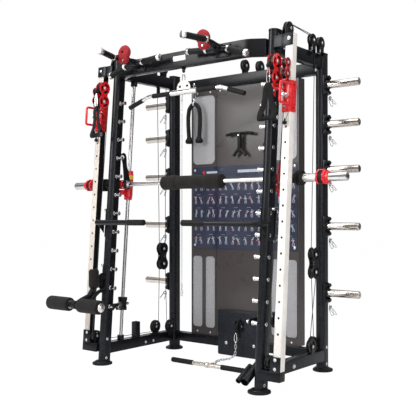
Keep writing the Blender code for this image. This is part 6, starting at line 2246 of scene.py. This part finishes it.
# ================================================================ floor, light, camera
def floor_material():
    """Pale floor that shows nearly white to the camera but still takes shadows."""
    material = bpy.data.materials.new("pale_floor")
    material.use_nodes = True
    nodes, links = material.node_tree.nodes, material.node_tree.links
    surface = nodes["Principled BSDF"]
    surface.inputs["Base Color"].default_value = (0.86, 0.86, 0.865, 1)
    surface.inputs["Roughness"].default_value = 0.62
    surface.inputs["Specular IOR Level"].default_value = 0.2
    glow = nodes.new("ShaderNodeEmission")
    glow.inputs["Color"].default_value = (1, 1, 1, 1)
    glow.inputs["Strength"].default_value = 1.06
    share = nodes.new("ShaderNodeMath")
    share.operation = "MULTIPLY"
    share.inputs[1].default_value = 0.90
    links.new(nodes.new("ShaderNodeLightPath").outputs["Is Camera Ray"], share.inputs[0])
    blend = nodes.new("ShaderNodeMixShader")
    links.new(share.outputs[0], blend.inputs[0])
    links.new(surface.outputs[0], blend.inputs[1])
    links.new(glow.outputs[0], blend.inputs[2])
    links.new(blend.outputs[0], nodes["Material Output"].inputs["Surface"])
    return material


def floor(half=30.0):
    material = floor_material()
    me = bpy.data.meshes.new("floor")
    me.from_pydata([(-half, -half, 0), (half, -half, 0), (half, half, 0), (-half, half, 0)],
                   [], [(0, 1, 2, 3)])
    me.materials.append(material)
    ob = bpy.data.objects.new("floor", me)
    bpy.context.scene.collection.objects.link(ob)


# Grey of the studio by height: (0 straight down to 1 straight up, grey)
HORIZON = ((0.44, 0.30), (0.485, 0.07), (0.54, 0.06), (0.62, 0.24), (0.75, 0.42))


def studio_world(scene):
    """White to the camera; reflections see a dark horizon and a bright wall."""
    world = bpy.data.worlds.new("studio")
    scene.world = world
    world.use_nodes = True
    nodes, links = world.node_tree.nodes, world.node_tree.links
    background = nodes["Background"]
    background.inputs["Strength"].default_value = 1.0
    direction = nodes.new("ShaderNodeTexCoord").outputs["Generated"]
    split = nodes.new("ShaderNodeSeparateXYZ")
    links.new(direction, split.inputs[0])
    height = nodes.new("ShaderNodeMapRange")
    height.inputs["From Min"].default_value = -1
    height.inputs["From Max"].default_value = 1
    links.new(split.outputs["Z"], height.inputs["Value"])
    ramp = nodes.new("ShaderNodeValToRGB")
    stops = ramp.color_ramp.elements
    stops[0].position = 0.0
    stops[0].color = (0.50, 0.50, 0.51, 1)
    stops[1].position = 1.0
    stops[1].color = (0.62, 0.63, 0.66, 1)
    for position, grey in HORIZON:
        stops.new(position).color = (grey, grey, grey * 1.03, 1)
    links.new(height.outputs["Result"], ramp.inputs["Fac"])
    # a bright wall behind the camera, so that round chrome has a pale core and dark edges
    facing = nodes.new("ShaderNodeVectorMath")
    facing.operation = "DOT_PRODUCT"
    facing.inputs[1].default_value = (0.618, -0.786, 0.0)
    links.new(direction, facing.inputs[0])
    wall = nodes.new("ShaderNodeMapRange")
    wall.interpolation_type = "SMOOTHSTEP"
    for key, value in (("From Min", 0.72), ("From Max", 0.93), ("To Min", 0.0), ("To Max", 0.62)):
        wall.inputs[key].default_value = value
    links.new(facing.outputs["Value"], wall.inputs["Value"])
    add = nodes.new("ShaderNodeMix")
    add.data_type = "RGBA"
    add.blend_type = "ADD"
    add.inputs[0].default_value = 1.0
    links.new(ramp.outputs["Color"], add.inputs[6])
    links.new(wall.outputs["Result"], add.inputs[7])
    seen = nodes.new("ShaderNodeMix")
    seen.data_type = "RGBA"
    links.new(nodes.new("ShaderNodeLightPath").outputs["Is Camera Ray"], seen.inputs[0])
    links.new(add.outputs[2], seen.inputs[6])
    seen.inputs[7].default_value = (1, 1, 1, 1)
    links.new(seen.outputs[2], background.inputs["Color"])


def area_light(name, place, aim, width, height, power, color=(1, 1, 1)):
    light = bpy.data.lights.new(name, "AREA")
    light.energy = power
    light.color = color
    light.shape = "RECTANGLE"
    light.size, light.size_y = width, height
    ob = bpy.data.objects.new(name, light)
    scene.collection.objects.link(ob)
    ob.location = place
    ob.rotation_euler = (Vector(aim) - Vector(place)).to_track_quat("-Z", "Y").to_euler()
    ob.visible_camera = False


def add_camera(scene):
    data = bpy.data.cameras.new("camera")
    data.lens, data.sensor_width = 61.86, 36.0
    ob = bpy.data.objects.new("camera", data)
    scene.collection.objects.link(ob)
    ob.location = (2.964, -3.801 + ORIGIN_Y, 1.021)
    ob.rotation_euler = (radians(90.59), 0, radians(38.16))
    scene.camera = ob


floor()
scene = bpy.context.scene
studio_world(scene)
area_light("key", (-2.4, -4.6, 3.6), aim=(0, 0, 1.0), width=2.6, height=3.2, power=215)
area_light("side", (4.6, -1.6, 2.6), aim=(0.4, 0.1, 1.1), width=2.0, height=3.0, power=60,
           color=(1.0, 0.985, 0.96))
area_light("top", (0.2, -0.6, 4.6), aim=(0, 0, 0.8), width=3.4, height=3.0, power=80)
area_light("rim", (-3.2, 3.2, 2.8), aim=(0, 0, 1.0), width=1.6, height=2.6, power=40)
add_camera(scene)
scene.view_settings.view_transform = "Standard"
scene.view_settings.look = "None"
scene.view_settings.exposure = 0.0
